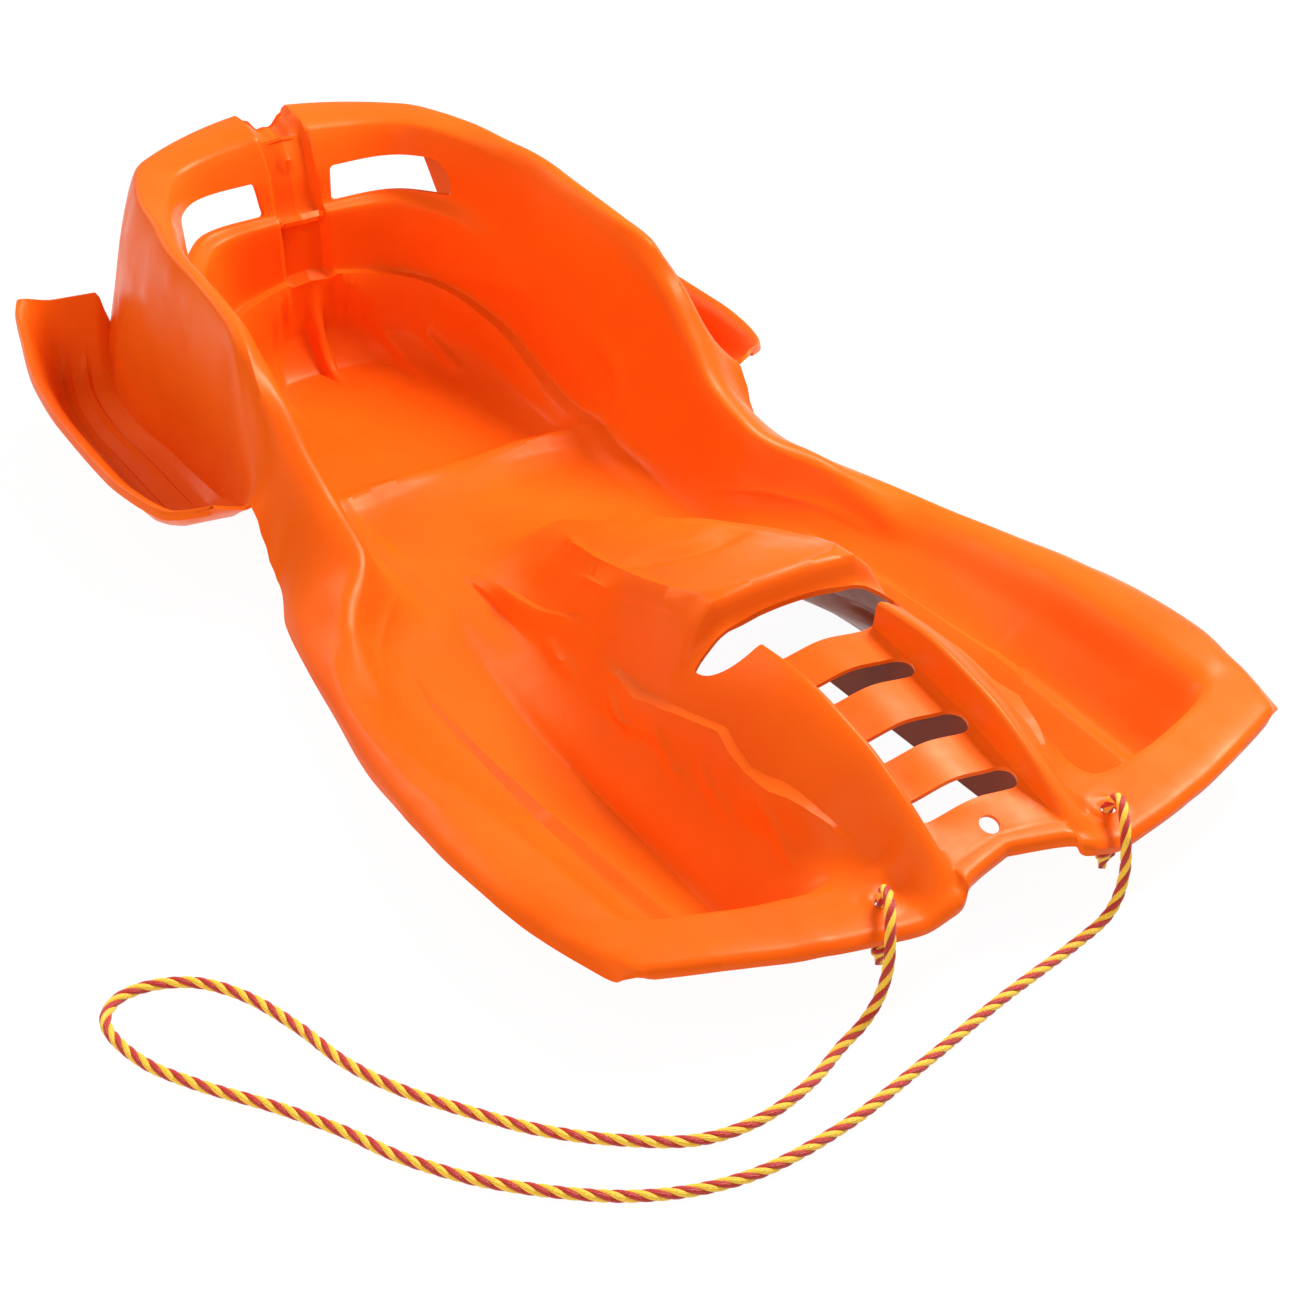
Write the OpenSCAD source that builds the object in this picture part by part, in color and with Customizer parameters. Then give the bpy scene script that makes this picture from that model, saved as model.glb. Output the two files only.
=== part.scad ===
// Moulded snow sled for one rider, with a tow rope.
// The nose points to -Y, the backrest to +Y, and the sled rests on z = 0.
// The origin is under the middle of the moulding.

/* [Moulding] */
// Wall thickness of the moulded sheet
wall_t = 3; // [2.6:0.1:3.4]
// Half width of each runner's flat sole
sole_half_w = 5; // [4:0.5:7]
// Depth of the V notch in the backrest rim
notch_depth = 15; // [8:1:18]
// Depth of the channel down the middle of the backrest
channel_depth = 6; // [3:1:8]

/* [Holes] */
// Radius of each rope hole
rope_hole_r = 5.5; // [5:0.1:6.5]
// Radius of the hang hole in the nose plate
hang_hole_r = 7.5; // [6:0.1:8.5]

/* [Rope] */
// Diameter of the tow rope
rope_d = 8; // [6:0.5:8]
// Largest diameter of each stopper knot
knot_d = 19; // [15:0.5:22]

/* [Hidden] */

// Distances along the sled are measured from the tip of the rope lip and moved to the origin by nose_y.
nose_y = -548;
// Stations up to seat_y run straight across. Past it they fan out around the seat, mm_per_deg apart.
seat_y = 880;
mm_per_deg = 3;

// Where the channel and the notch begin, in degrees of the fan
channel_start = 82;
notch_start = 85;

// Half sections of the sheet's upper side: station, then [distance from the centre line, height].
// The 16 points are deck 0-2, rail top 3-4, leg wall 5-6, floor 7, runner 8, floor 9,
// outer wall 10, rim or slot 11, rim 12-14 and the foot of the lip or skirt 15.
SECTIONS = [
    [-20, [[0, 70], [41, 66], [46, 66], [50, 64], [57, 63], [84, 46], [116, 46], [146, 46],
           [163, 46], [205, 46], [228, 46], [243, 46], [252, 46], [262, 46], [276, 46], [286, 45]]],
    [40, [[0, 81], [41, 75], [46, 76], [50, 97], [57, 96], [84, 62], [116, 50], [146, 15],
          [163, 2.6], [205, 10], [230, 34], [250, 59], [262, 64], [278, 65], [294, 60], [301, 52]]],
    [100, [[0, 98], [41, 93], [46, 94], [50, 121], [57, 120], [84, 92], [116, 50], [146, 14],
           [163, 2.6], [205, 10], [232, 34], [254, 60], [266, 65], [284, 66], [304, 62], [310, 54]]],
    [175, [[0, 112], [41, 107], [46, 108], [50, 133], [57, 132], [86, 106], [118, 56], [148, 14],
           [160, 2.6], [207, 10], [236, 32], [258, 58], [270, 63], [288, 64], [307, 59], [312, 51]]],
    [222, [[0, 117], [41, 112], [46, 113], [50, 131], [57, 129], [88, 104], [119, 56], [148, 14],
           [158, 2.6], [207, 10], [238, 30], [261, 56], [272, 61], [289, 62], [306, 56], [310, 48]]],
    [254, [[0, 128], [28, 128], [42, 127], [56, 126], [68, 122], [90, 103], [120, 55], [148, 14],
           [157, 2.6], [207, 10], [238, 29], [262, 54], [272, 59], [288, 60], [304, 53], [308, 45]]],
    [264, [[0, 147], [28, 147], [46, 146], [63, 144], [77, 130], [93, 101], [120, 53], [147, 14],
           [156, 2.6], [207, 9], [238, 28], [262, 53], [272, 58], [288, 59], [304, 52], [307, 44]]],
    [350, [[0, 128], [24, 127], [42, 125], [60, 120], [76, 107], [94, 72], [116, 36], [141, 12],
           [155, 2.6], [207, 8], [238, 22], [262, 44], [272, 49], [284, 50], [296, 44], [299, 36]]],
    [430, [[0, 102], [18, 101], [34, 99], [50, 95], [64, 82], [82, 50], [104, 24], [131, 9],
           [149, 2.6], [199, 8], [228, 19], [252, 37], [262, 42], [272, 44], [281, 40], [284, 33]]],
    [505, [[0, 74], [10, 73], [20, 72], [32, 68], [46, 54], [66, 30], [90, 14], [119, 7],
           [138, 2.6], [182, 12], [205, 27], [226, 45], [234, 49], [247, 47], [265, 38], [270, 31]]],
    [576, [[0, 44], [8, 42], [16, 39], [26, 34], [40, 25], [62, 15], [84, 9], [108, 6],
           [124, 6], [152, 22], [168, 48], [178, 72], [185, 79], [206, 68], [245, 37], [253, 27]]],
    [627, [[0, 12], [12, 12], [24, 11], [36, 10], [50, 9], [68, 8], [88, 8], [108, 8],
           [124, 10], [148, 27], [164, 60], [175, 90], [183, 98], [202, 88], [228, 50], [235, 38]]],
    [665, [[0, 8], [12, 8], [24, 8], [36, 8], [50, 8], [68, 8], [88, 8], [108, 9],
           [128, 14], [150, 34], [166, 76], [178, 118], [186, 127], [201, 122], [222, 100], [236, 88]]],
    [700, [[0, 8], [12, 8], [24, 8], [36, 8], [50, 8], [68, 8], [90, 8], [110, 9],
           [130, 15], [151, 38], [166, 92], [178, 146], [186, 156], [200, 155], [216, 118], [230, 68]]],
    [750, [[0, 18], [12, 18], [24, 18], [36, 18], [50, 18], [70, 18], [92, 18], [114, 19],
           [134, 22], [152, 44], [164, 108], [174, 164], [181, 178], [191, 187], [201, 184], [218, 48]]],
    [785, [[0, 2.6], [12, 2.6], [24, 2.6], [36, 2.6], [52, 2.6], [72, 2.6], [95, 3.5], [116, 7],
           [136, 19], [151, 55], [162, 122], [169, 167], [175, 185], [184, 194], [194, 194], [214, 36]]],
    [880, [[0, 2.6], [12, 2.6], [24, 2.6], [36, 2.6], [54, 2.6], [76, 3.5], [100, 6], [122, 14],
           [138, 40], [150, 90], [160, 140], [165, 172], [170, 194], [179, 203], [189, 206], [212, 32]]],
    [940, [[0, 2.6], [12, 2.6], [24, 2.6], [36, 2.6], [54, 2.6], [78, 3.5], [104, 8], [126, 22],
           [140, 56], [152, 112], [162, 146], [167, 176], [172, 200], [182, 209], [192, 211], [228, 32]]],
    [1000, [[0, 2.6], [12, 2.6], [24, 2.6], [36, 2.6], [56, 2.6], [80, 3.5], [108, 9], [132, 27],
            [148, 71], [160, 136], [172, 150], [177, 180], [187, 207], [203, 212], [216, 214], [258, 34]]],
    [1019, [[0, 2.6], [12, 2.6], [24, 2.6], [36, 2.6], [56, 2.6], [80, 3.5], [109, 9], [134, 28],
            [151, 74], [163, 139], [175, 151], [183, 181], [193, 209], [211, 214], [226, 215], [266, 70]]],
    [1050, [[0, 2.6], [12, 2.6], [24, 2.6], [36, 2.6], [56, 2.6], [80, 3.5], [110, 9], [136, 29],
            [154, 78], [168, 144], [180, 152], [189, 183], [201, 211], [222, 216], [240, 217], [246, 202]]],
    [1105, [[0, 2.6], [12, 2.6], [24, 2.6], [36, 2.6], [56, 2.6], [80, 3.5], [110, 10], [134, 38],
            [148, 88], [156, 146], [166, 153], [174, 184], [190, 216], [214, 223], [236, 224], [240, 212]]],
    [1150, [[0, 2.6], [12, 2.6], [24, 2.6], [36, 2.6], [56, 2.6], [80, 3.5], [110, 11], [132, 44],
            [143, 94], [150, 146], [158, 153], [165, 184], [183, 221], [208, 228], [232, 230], [236, 218]]],
];

// Rows of the nose: station, share of the rim's height and drop below the rim.
NOSE_ROWS = [[-20, 1, 11], [-21, 1, 6], [-15, 1, 1], [0, 1, 0], [18, 1, 0], [33, 1, 0],
             [42, 0.82, 0], [51, 0.32, 0], [62, 0.06, 0], [74, 0.03, 0]];
// Stations of the other rows, closer together where the shape bends.
BODY_ROWS = [85, 96, 119, 139, 158, 180, 200, 220, 228, 238, 249, 256, 264, 282, 315, 350, 390, 430, 470,
             505, 540, 576, 600, 627, 645, 665, 682, 700, 720, 735, 750, 765, 785, 815, 848, 880];
FAN_DEGREES = [7, 14, 21, 28, 35, 40, 43.5, 45, 46.5, 50, 55, 60, 66, 72, 77, 81, 84.5, 87, 90];
STATIONS = concat([for (r = NOSE_ROWS) r[0]], BODY_ROWS, [for (d = FAN_DEGREES) seat_y + d * mm_per_deg]);
last_row = len(STATIONS) - 1;
pole_row = len(NOSE_ROWS) + len(BODY_ROWS) - 1;

// Columns of a half: the hull's, then the wing's.
hull_cols = 16;
wing_cols = 7;
edge_col = hull_cols + wing_cols;
row_points = 2 * edge_col + 1;

// Wing rim: station, x, distance from the lip tip, height of the rim and height of the floor.
WING = [[665, 262, 682, 88, 87], [682, 281, 698, 82, 76], [700, 291, 713, 79, 64],
        [750, 301, 757, 79, 40], [785, 304, 792, 79, 31], [880, 301, 900, 81, 31],
        [940, 293, 975, 85, 32], [1000, 273, 1058, 100, 36], [1010.5, 268, 1076, 108, 60],
        [1019.5, 263, 1086, 111, 104]];
wing_start = 665;
wing_end = 1019.5;
// Shares of the way from the skirt to the wing's rim, and the lift of the floor there.
WING_STEPS = [[0.14, 0], [0.26, 0], [0.30, 4], [0.50, 0], [0.62, 2]];

// Openings of the deck between the rails, as stations.
DECK_SLOTS = [[42, 62], [96, 119], [158, 180]];
GAP = [220, 256];
GAP_TIP = [228, 249];
BACK_SLOT = [seat_y + 40 * mm_per_deg, seat_y + 77 * mm_per_deg];

// Places of the rope holes, and the hang hole's station
rope_hole_x = 97;
rope_hole_y = 11;
hang_hole_u = 12;
// The deck's front edge: its station, its height, and its rise per millimetre of station
lip_front = -21;
deck_front_z = 70;
deck_rise = 0.29;
// How far deck points 0-2 lie below its crown, and the station at which they reach that
deck_fall = [0, 5, 4];
deck_fall_reach = 40;
// How deep the front edge is hollowed between the rails, how far back, and the half width of the hollow
mouth_depth = 22;
mouth_reach = 60;
mouth_half_w = 54;
// Height of the front rim beside the rails, its rise to the corners, where that begins and how wide it is
rim_front_z = 55;
rim_rise = 8;
rim_rise_from = 90;
rim_rise_w = 130;
// The outer lip hangs this far below the rim.
lip_h = 11;
// Height and station of the rails' crown, and how far, over what length and how evenly they come down
rail_crown_z = 133;
rail_crown_u = 190;
rail_fall = 69;
rail_fall_reach = 200;
rail_fall_power = 2.2;
// Height of a rail over the leg wall's next point, and how much steeper the rail drops at the nose
rail_h = 28;
rail_drop = 1.2;
// How far the front edge sweeps back, from what distance, over what width and length and how evenly
sweep_depth = 60;
sweep_from = 60;
sweep_w = 225;
sweep_reach = 380;
sweep_power = 1.8;
// The notch takes this share of its depth at its foot. A wing floor below this height carries ridges.
notch_foot = 0.4;
ridged_below_z = 50;

// Route of the tow rope, point by point, from the left knot to the right one.
ROPE = [[-97, -537, 28], [-97, -537, 58], [-100, -543, 71], [-108, -558, 73], [-118, -573, 62],
        [-124, -580, 42], [-132, -582, 22], [-146, -584, 8], [-166, -590, 4], [-205, -608, 4],
        [-250, -618, 4], [-292, -612, 4], [-332, -586, 4], [-368, -552, 4], [-399, -510, 4],
        [-424, -470, 4], [-440, -430, 4], [-449, -386, 4], [-463, -341, 4], [-484, -309, 4],
        [-512, -294, 4], [-538, -296, 4], [-553, -318, 4], [-547, -361, 4], [-526, -401, 4],
        [-495, -445, 4], [-470, -487, 4], [-448, -532, 4], [-410, -582, 4], [-350, -632, 4],
        [-285, -655, 4], [-210, -651, 4], [-130, -631, 4], [-50, -609, 4], [25, -592, 4],
        [60, -586, 12], [74, -582, 36], [80, -573, 62], [92, -553, 73], [97, -537, 58], [97, -537, 28]];
rope_sides = 8;
rope_steps = 2;
knot_top = 28;
knot_h = 15;
tail_z = 4.5;

// --- Interpolation -------------------------------------------------------------------------

function limit(v, low, high) = min(max(v, low), high);

// Slope between two sections, limited so that the curve doesn't overshoot.
function limited(a, b) = a * b <= 0 ? 0 : 2 * a * b / (a + b);

// Last table row whose key isn't above u.
function below(table, u, i = 0) = i >= len(table) - 2 || table[i + 1][0] > u ? i : below(table, u, i + 1);

// Change per millimetre of station of value k of point c, between sections i and i + 1.
function rise_of(i, c, k) =
    (SECTIONS[i + 1][1][c][k] - SECTIONS[i][1][c][k]) / (SECTIONS[i + 1][0] - SECTIONS[i][0]);

function slope_at(i, c, k) =
    i == 0 ? rise_of(0, c, k)
    : i == len(SECTIONS) - 1 ? rise_of(i - 1, c, k)
    : limited(rise_of(i - 1, c, k), rise_of(i, c, k));

// Smooth value k of point c of the section at station u.
function section_value(u, c, k) =
    let (i = below(SECTIONS, u), h = SECTIONS[i + 1][0] - SECTIONS[i][0], t = (u - SECTIONS[i][0]) / h)
    SECTIONS[i][1][c][k] * (2 * pow(t, 3) - 3 * t * t + 1)
    + SECTIONS[i + 1][1][c][k] * (3 * t * t - 2 * pow(t, 3))
    + h * slope_at(i, c, k) * (pow(t, 3) - 2 * t * t + t)
    + h * slope_at(i + 1, c, k) * (pow(t, 3) - t * t);

// Straight line value k of the wing table at station u.
function wing_value(u, k) =
    let (i = below(WING, u), t = (u - WING[i][0]) / (WING[i + 1][0] - WING[i][0]))
    WING[i][k] + (WING[i + 1][k] - WING[i][k]) * t;

// --- Upper side of the sheet ---------------------------------------------------------------

// Height of the front rim at a distance a from the centre line.
function rim_z(a) = rim_front_z + rim_rise * limit((a - rim_rise_from) / rim_rise_w, 0, 1);

// Height of the rails, which arch down to the nose.
function rail_z(u) =
    let (from = rail_crown_u - rail_fall_reach)
    rail_crown_z - rail_fall * pow((rail_crown_u - max(u, from)) / rail_fall_reach, rail_fall_power);

// The front edge sweeps back towards the corners, and is hollowed between the rails.
function sweep(a, u) =
    sweep_depth * pow(max(a - sweep_from, 0) / sweep_w, sweep_power)
    * max(0, 1 - (u - lip_front) / sweep_reach);
function mouth(a, u) =
    mouth_depth * max(0, 1 - pow(a / mouth_half_w, 2)) * max(0, 1 - (u - lip_front) / mouth_reach);

// Height of the deck between the rails near the nose.
function deck_z(u, c) =
    deck_front_z + deck_rise * max(u, 0) - deck_fall[c] * limit(u / deck_fall_reach, 0.1, 1);

// Height of point c in nose row i.
function nose_z(i, c, a, z) =
    let (u = NOSE_ROWS[i][0], share = NOSE_ROWS[i][1], drop = NOSE_ROWS[i][2])
    c <= 2 ? deck_z(u, c) - drop
    : c <= 4 ? rail_z(u) - (c - 3) - drop * rail_drop
    : c == 5 ? max(rim_z(a) - 1, min(rail_z(u) - rail_h, z)) - drop
    : c <= 13 ? z + (rim_z(a) - z) * share - drop
    : c == 14 ? z + (rim_z(a) - z) * share / 2 - drop / 2
    : min(z + (rim_z(a) - z) * share / 2, rim_z(a) - lip_h);

// The V notch and the channel lie at the end of the fan.
function notched(u, c) =
    u > seat_y + notch_start * mm_per_deg && c >= 12 ? notch_depth * (c == 12 ? notch_foot : 1) : 0;
function channel(u, c) = u > seat_y + channel_start * mm_per_deg && c >= 6 && c <= 12 ? channel_depth : 0;

// Distance and height of hull point c in row i; the runner's point becomes the two edges of its sole.
function hull_az(i, c) =
    let (u = STATIONS[i], k = c > 8 ? c - 1 : c, nose = i < len(NOSE_ROWS))
    let (half_sole = c == 8 ? -sole_half_w : c == 9 ? sole_half_w : 0)
    let (a = section_value(u, k, 0) + half_sole + channel(u, k))
    let (base = section_value(nose ? 40 : u, k, 1))
    [a, nose ? nose_z(i, k, a, base) : base - notched(u, k)];

// Point of the hull at row i and column c.
function hull_point(i, c) =
    let (u = STATIONS[i], p = hull_az(i, c), turn = max(u - seat_y, 0) / mm_per_deg)
    let (y = min(u, seat_y) + sweep(p[0], u) + (u < seat_y ? mouth(p[0], u) : 0))
    [p[0] * cos(turn), y + p[0] * sin(turn), p[1]];

function in_wing(i) = STATIONS[i] >= wing_start && STATIONS[i] <= wing_end;

// Point k of the wing's cross line in row i, counted outwards from the skirt.
function wing_point(i, k) =
    let (u = STATIONS[i], root = hull_point(i, hull_cols))
    let (rim = [wing_value(u, 1), wing_value(u, 2), wing_value(u, 3)], floor_z = wing_value(u, 4))
    k == wing_cols ? rim + [2, 0, -9]
    : k == wing_cols - 1 ? rim
    : let (s = WING_STEPS[k - 1], across = root + (rim - root) * s[0])
      [across[0], across[1], min(floor_z + (floor_z < ridged_below_z ? s[1] : 0), rim[2])];

function half_point(i, c) =
    c <= hull_cols ? hull_point(i, c)
    : in_wing(i) ? wing_point(i, c - hull_cols)
    : hull_point(i, hull_cols);

// Half of the sheet's points, then the whole sheet by reflection.
HALF = [for (i = [0:last_row]) [for (c = [0:edge_col]) half_point(i, c) + [0, nose_y, 0]]];
function mirrored(p) = [-p[0], p[1], p[2]];
function top(i, c) =
    i > last_row ? top(2 * last_row - i, 2 * edge_col - c)
    : c >= edge_col ? HALF[i][c - edge_col] : mirrored(HALF[i][edge_col - c]);

// --- Openings ------------------------------------------------------------------------------

// Half column of cell column c.
function half_cell(c) = c >= edge_col ? c - edge_col : edge_col - 1 - c;
function within(i, span) = STATIONS[i] >= span[0] && STATIONS[i + 1] <= span[1];
function in_deck_slot(i) = len([for (s = DECK_SLOTS) if (within(i, s)) 1]) > 0;

// Whether the sheet is there in the cell between rows i, i + 1 and columns c, c + 1.
function kept(i, c) =
    let (j = half_cell(c))
    i < 0 || i >= last_row || c < 0 || c >= 2 * edge_col ? false
    : j >= hull_cols ? in_wing(i) && in_wing(i + 1)
    : !(j == 0 && in_deck_slot(i))
      && !(j <= 3 && within(i, GAP))
      && !(j == 4 && within(i, GAP_TIP))
      && !(j == 11 && within(i, BACK_SLOT));

// --- Solid sheet ---------------------------------------------------------------------------

function unit(v) = v / max(norm(v), 0.0001);

// Outermost column that the sheet has in row i.
function reach(i) = in_wing(min(i, last_row)) ? edge_col : hull_cols;

// Upward normal of the sheet at row i and column c.
function normal_at(i, c) =
    let (r = reach(i), cc = limit(c, edge_col - r, edge_col + r))
    let (left = top(i, max(cc - 1, edge_col - r)), right = top(i, min(cc + 1, edge_col + r)))
    let (fore = top(max(i - 1, 0), cc), aft = top(i + 1, cc))
    unit(cross(right - left, aft - fore));

// Lower side of the sheet, one wall thickness away, with the soles flat on z = 0.
function bottom(i, c) =
    let (flat_seat = i >= pole_row && c == edge_col)
    let (p = top(i, c) - wall_t * (flat_seat ? [0, 0, 1] : normal_at(i, c)))
    [p[0], p[1], max(p[2], 0)];

// The seam at the back and the seat's centre share their points.
function index(i, c) =
    i > pole_row && c == edge_col && i <= last_row ? pole_row * row_points + edge_col
    : i == last_row && c < edge_col ? last_row * row_points + 2 * edge_col - c
    : i * row_points + c;

lower = (last_row + 1) * row_points;

function tri(a, b, c) = a == b || b == c || c == a ? [] : [[a, b, c]];
function quad(a, b, c, d) = concat(tri(a, b, c), tri(a, c, d));

function cell_faces(i, c) =
    let (a = index(i, c), b = index(i, c + 1), d = index(i + 1, c), e = index(i + 1, c + 1))
    concat(
        quad(a, d, e, b),
        quad(a + lower, b + lower, e + lower, d + lower),
        kept(i - 1, c) ? [] : quad(a, b, b + lower, a + lower),
        kept(i + 1, c) || i + 1 == last_row ? [] : quad(e, d, d + lower, e + lower),
        kept(i, c - 1) ? [] : quad(d, a, a + lower, d + lower),
        kept(i, c + 1) ? [] : quad(b, e, e + lower, b + lower));

module sheet() {
    points = concat(
        [for (i = [0:last_row]) for (c = [0:row_points - 1]) top(i, c)],
        [for (i = [0:last_row]) for (c = [0:row_points - 1]) bottom(i, c)]);
    faces = [for (i = [0:last_row - 1]) for (c = [0:2 * edge_col - 1])
        if (kept(i, c)) for (f = cell_faces(i, c)) f];
    polyhedron(points, faces, convexity = 12);
}

module sled_shell() {
    color("orangered")
    difference() {
        sheet();
        for (side = [-1, 1])
            translate([side * rope_hole_x, rope_hole_y + nose_y, 30])
                cylinder(r = rope_hole_r, h = 60, $fn = 48);
        translate([0, hang_hole_u + mouth(0, hang_hole_u) + nose_y, deck_z(hang_hole_u, 0)])
            rotate([atan(deck_rise / (1 - mouth_depth / mouth_reach)), 0, 0])
                cylinder(r = hang_hole_r, h = 40, center = true, $fn = 48);
    }
}

// --- Rope ----------------------------------------------------------------------------------

// Point t of the way along segment i of the smooth curve through the route.
function route_at(i, t) =
    let (n = len(ROPE) - 1)
    let (p0 = ROPE[max(i - 1, 0)], p1 = ROPE[i], p2 = ROPE[min(i + 1, n)], p3 = ROPE[min(i + 2, n)])
    0.5 * (2 * p1 + (p2 - p0) * t + (2 * p0 - 5 * p1 + 4 * p2 - p3) * t * t
        + (3 * p1 - p0 - 3 * p2 + p3) * t * t * t);

ROUTE = concat(
    [for (i = [0:len(ROPE) - 2]) for (k = [0:rope_steps - 1]) route_at(i, k / rope_steps)],
    [ROPE[len(ROPE) - 1]]);

// Ring of a tube at point p across direction d. The side vector turns with the curve.
function side_vector(d, old) = unit(old - d * (old * d));
function sides(i, path, old) =
    let (d = unit(path[min(i + 1, len(path) - 1)] - path[max(i - 1, 0)]), s = side_vector(d, old))
    i >= len(path) ? [] : concat([[d, s]], sides(i + 1, path, s));

module tube(path, d) {
    frames = sides(0, path, [1, 0, 0]);
    n = len(path);
    points = [for (i = [0:n - 1]) for (k = [0:rope_sides - 1])
        let (a = 360 * k / rope_sides, f = frames[i], up = cross(f[0], f[1]))
        let (p = path[i] + d / 2 * (cos(a) * f[1] + sin(a) * up))
        [p[0], p[1], max(p[2], 0)]];
    walls = [for (i = [0:n - 2]) for (k = [0:rope_sides - 1])
        let (a = i * rope_sides + k, b = i * rope_sides + (k + 1) % rope_sides)
        for (f = [[a, a + rope_sides, b + rope_sides], [a, b + rope_sides, b]]) f];
    start_cap = [for (k = [1:rope_sides - 2]) [0, k, k + 1]];
    e = (n - 1) * rope_sides;
    end_cap = [for (k = [1:rope_sides - 2]) [e, e + k + 1, e + k]];
    polyhedron(points, concat(walls, start_cap, end_cap), convexity = 10);
}

module tow_rope() {
    color("gold") tube(ROUTE, rope_d);
}

// Stopper knot under a rope hole, with its short free end.
module knot(side) {
    r = knot_d / 2;
    translate([side * rope_hole_x, rope_hole_y + nose_y, 0]) {
        translate([0, 0, knot_top - knot_h])
            rotate_extrude($fn = 32)
                polygon([[0, 0], [r * 0.55, 0], [r * 0.9, knot_h * 0.22], [r, knot_h * 0.5],
                    [r * 0.9, knot_h * 0.78], [r * 0.55, knot_h], [0, knot_h]]);
        translate([0, 0, tail_z])
            cylinder(d = rope_d, h = knot_top - knot_h - tail_z + 1, $fn = 24);
    }
}

module left_knot() {
    color("gold") knot(-1);
}

module right_knot() {
    color("gold") knot(1);
}

sled_shell();
tow_rope();
left_knot();
right_knot();
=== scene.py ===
"""Moulded orange snow sled with a twisted tow rope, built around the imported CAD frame."""

import logging
from dataclasses import dataclass
from enum import Enum
from math import cos, radians, sin

import bpy
import numpy as np
from mathutils import Matrix, Vector


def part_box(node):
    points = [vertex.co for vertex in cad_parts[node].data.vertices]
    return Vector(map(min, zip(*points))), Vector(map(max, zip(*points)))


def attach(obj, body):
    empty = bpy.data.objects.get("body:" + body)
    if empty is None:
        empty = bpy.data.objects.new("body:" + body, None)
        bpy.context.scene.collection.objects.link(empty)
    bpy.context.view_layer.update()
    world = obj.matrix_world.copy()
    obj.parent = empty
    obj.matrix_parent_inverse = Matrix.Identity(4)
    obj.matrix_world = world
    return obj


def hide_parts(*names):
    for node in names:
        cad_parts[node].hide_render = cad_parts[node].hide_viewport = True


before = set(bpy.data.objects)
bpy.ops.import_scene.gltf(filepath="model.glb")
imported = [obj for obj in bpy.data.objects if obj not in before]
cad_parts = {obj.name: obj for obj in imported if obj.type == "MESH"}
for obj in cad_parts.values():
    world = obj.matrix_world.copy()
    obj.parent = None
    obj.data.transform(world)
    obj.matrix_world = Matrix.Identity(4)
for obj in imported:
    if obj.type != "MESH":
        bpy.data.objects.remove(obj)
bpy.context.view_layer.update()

log = logging.getLogger("snow_sled")
MM = 0.001
# Turns an outline's own X, Y and Z to run along Y, Z and X.
UPRIGHT = Matrix(((0, 0, 1, 0), (1, 0, 0, 0), (0, 1, 0, 0), (0, 0, 0, 1)))


class Side(Enum):
    """The two halves of the sled, as the sign of X."""

    LEFT = -1
    RIGHT = 1


# --- Helpers -------------------------------------------------------------------------------


def deselect_all() -> None:
    """Leave object mode with nothing selected."""
    if bpy.context.object and bpy.context.object.mode != "OBJECT":
        bpy.ops.object.mode_set(mode="OBJECT")
    bpy.ops.object.select_all(action="DESELECT")


def smooth(t: np.ndarray) -> np.ndarray:
    """Ease a value from 0 to 1, and hold it there outside."""
    t = np.clip(t, 0.0, 1.0)
    return t * t * (3.0 - 2.0 * t)


def limited_slopes(keys: np.ndarray, values: np.ndarray) -> np.ndarray:
    """Slopes of a curve through values that never overshoots.

    Args:
        keys: Rising keys along axis 0.
        values: Values at the keys, with the same shape.

    Returns:
        One slope for each key.
    """
    steps = np.diff(keys, axis=0)
    rises = np.diff(values, axis=0) / np.where(steps == 0, 1.0, steps)
    a, b = rises[:-1], rises[1:]
    total = np.where(a + b == 0, 1.0, a + b)
    inner = np.where(a * b > 0, 2.0 * a * b / total, 0.0)
    return np.concatenate([rises[:1], inner, rises[-1:]])


def hermite(low: np.ndarray, high: np.ndarray, out: np.ndarray, into: np.ndarray, t: float) -> np.ndarray:
    """Cubic from low to high with slopes out and into, at share t."""
    return (low * (2 * t**3 - 3 * t * t + 1) + high * (3 * t * t - 2 * t**3)
            + out * (t**3 - 2 * t * t + t) + into * (t**3 - t * t))


def mesh_object(name: str, points: np.ndarray, faces: list) -> bpy.types.Object:
    """Make a mesh object at the origin.

    Args:
        name: Name of the object.
        points: Corners, in metres.
        faces: Lists of corner numbers.

    Returns:
        The new object.
    """
    mesh = bpy.data.meshes.new(name)
    mesh.from_pydata([tuple(p) for p in points], [], faces)
    mesh.update()
    piece = bpy.data.objects.new(name, mesh)
    bpy.context.collection.objects.link(piece)
    return piece


# --- Finishes ------------------------------------------------------------------------------


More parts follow.
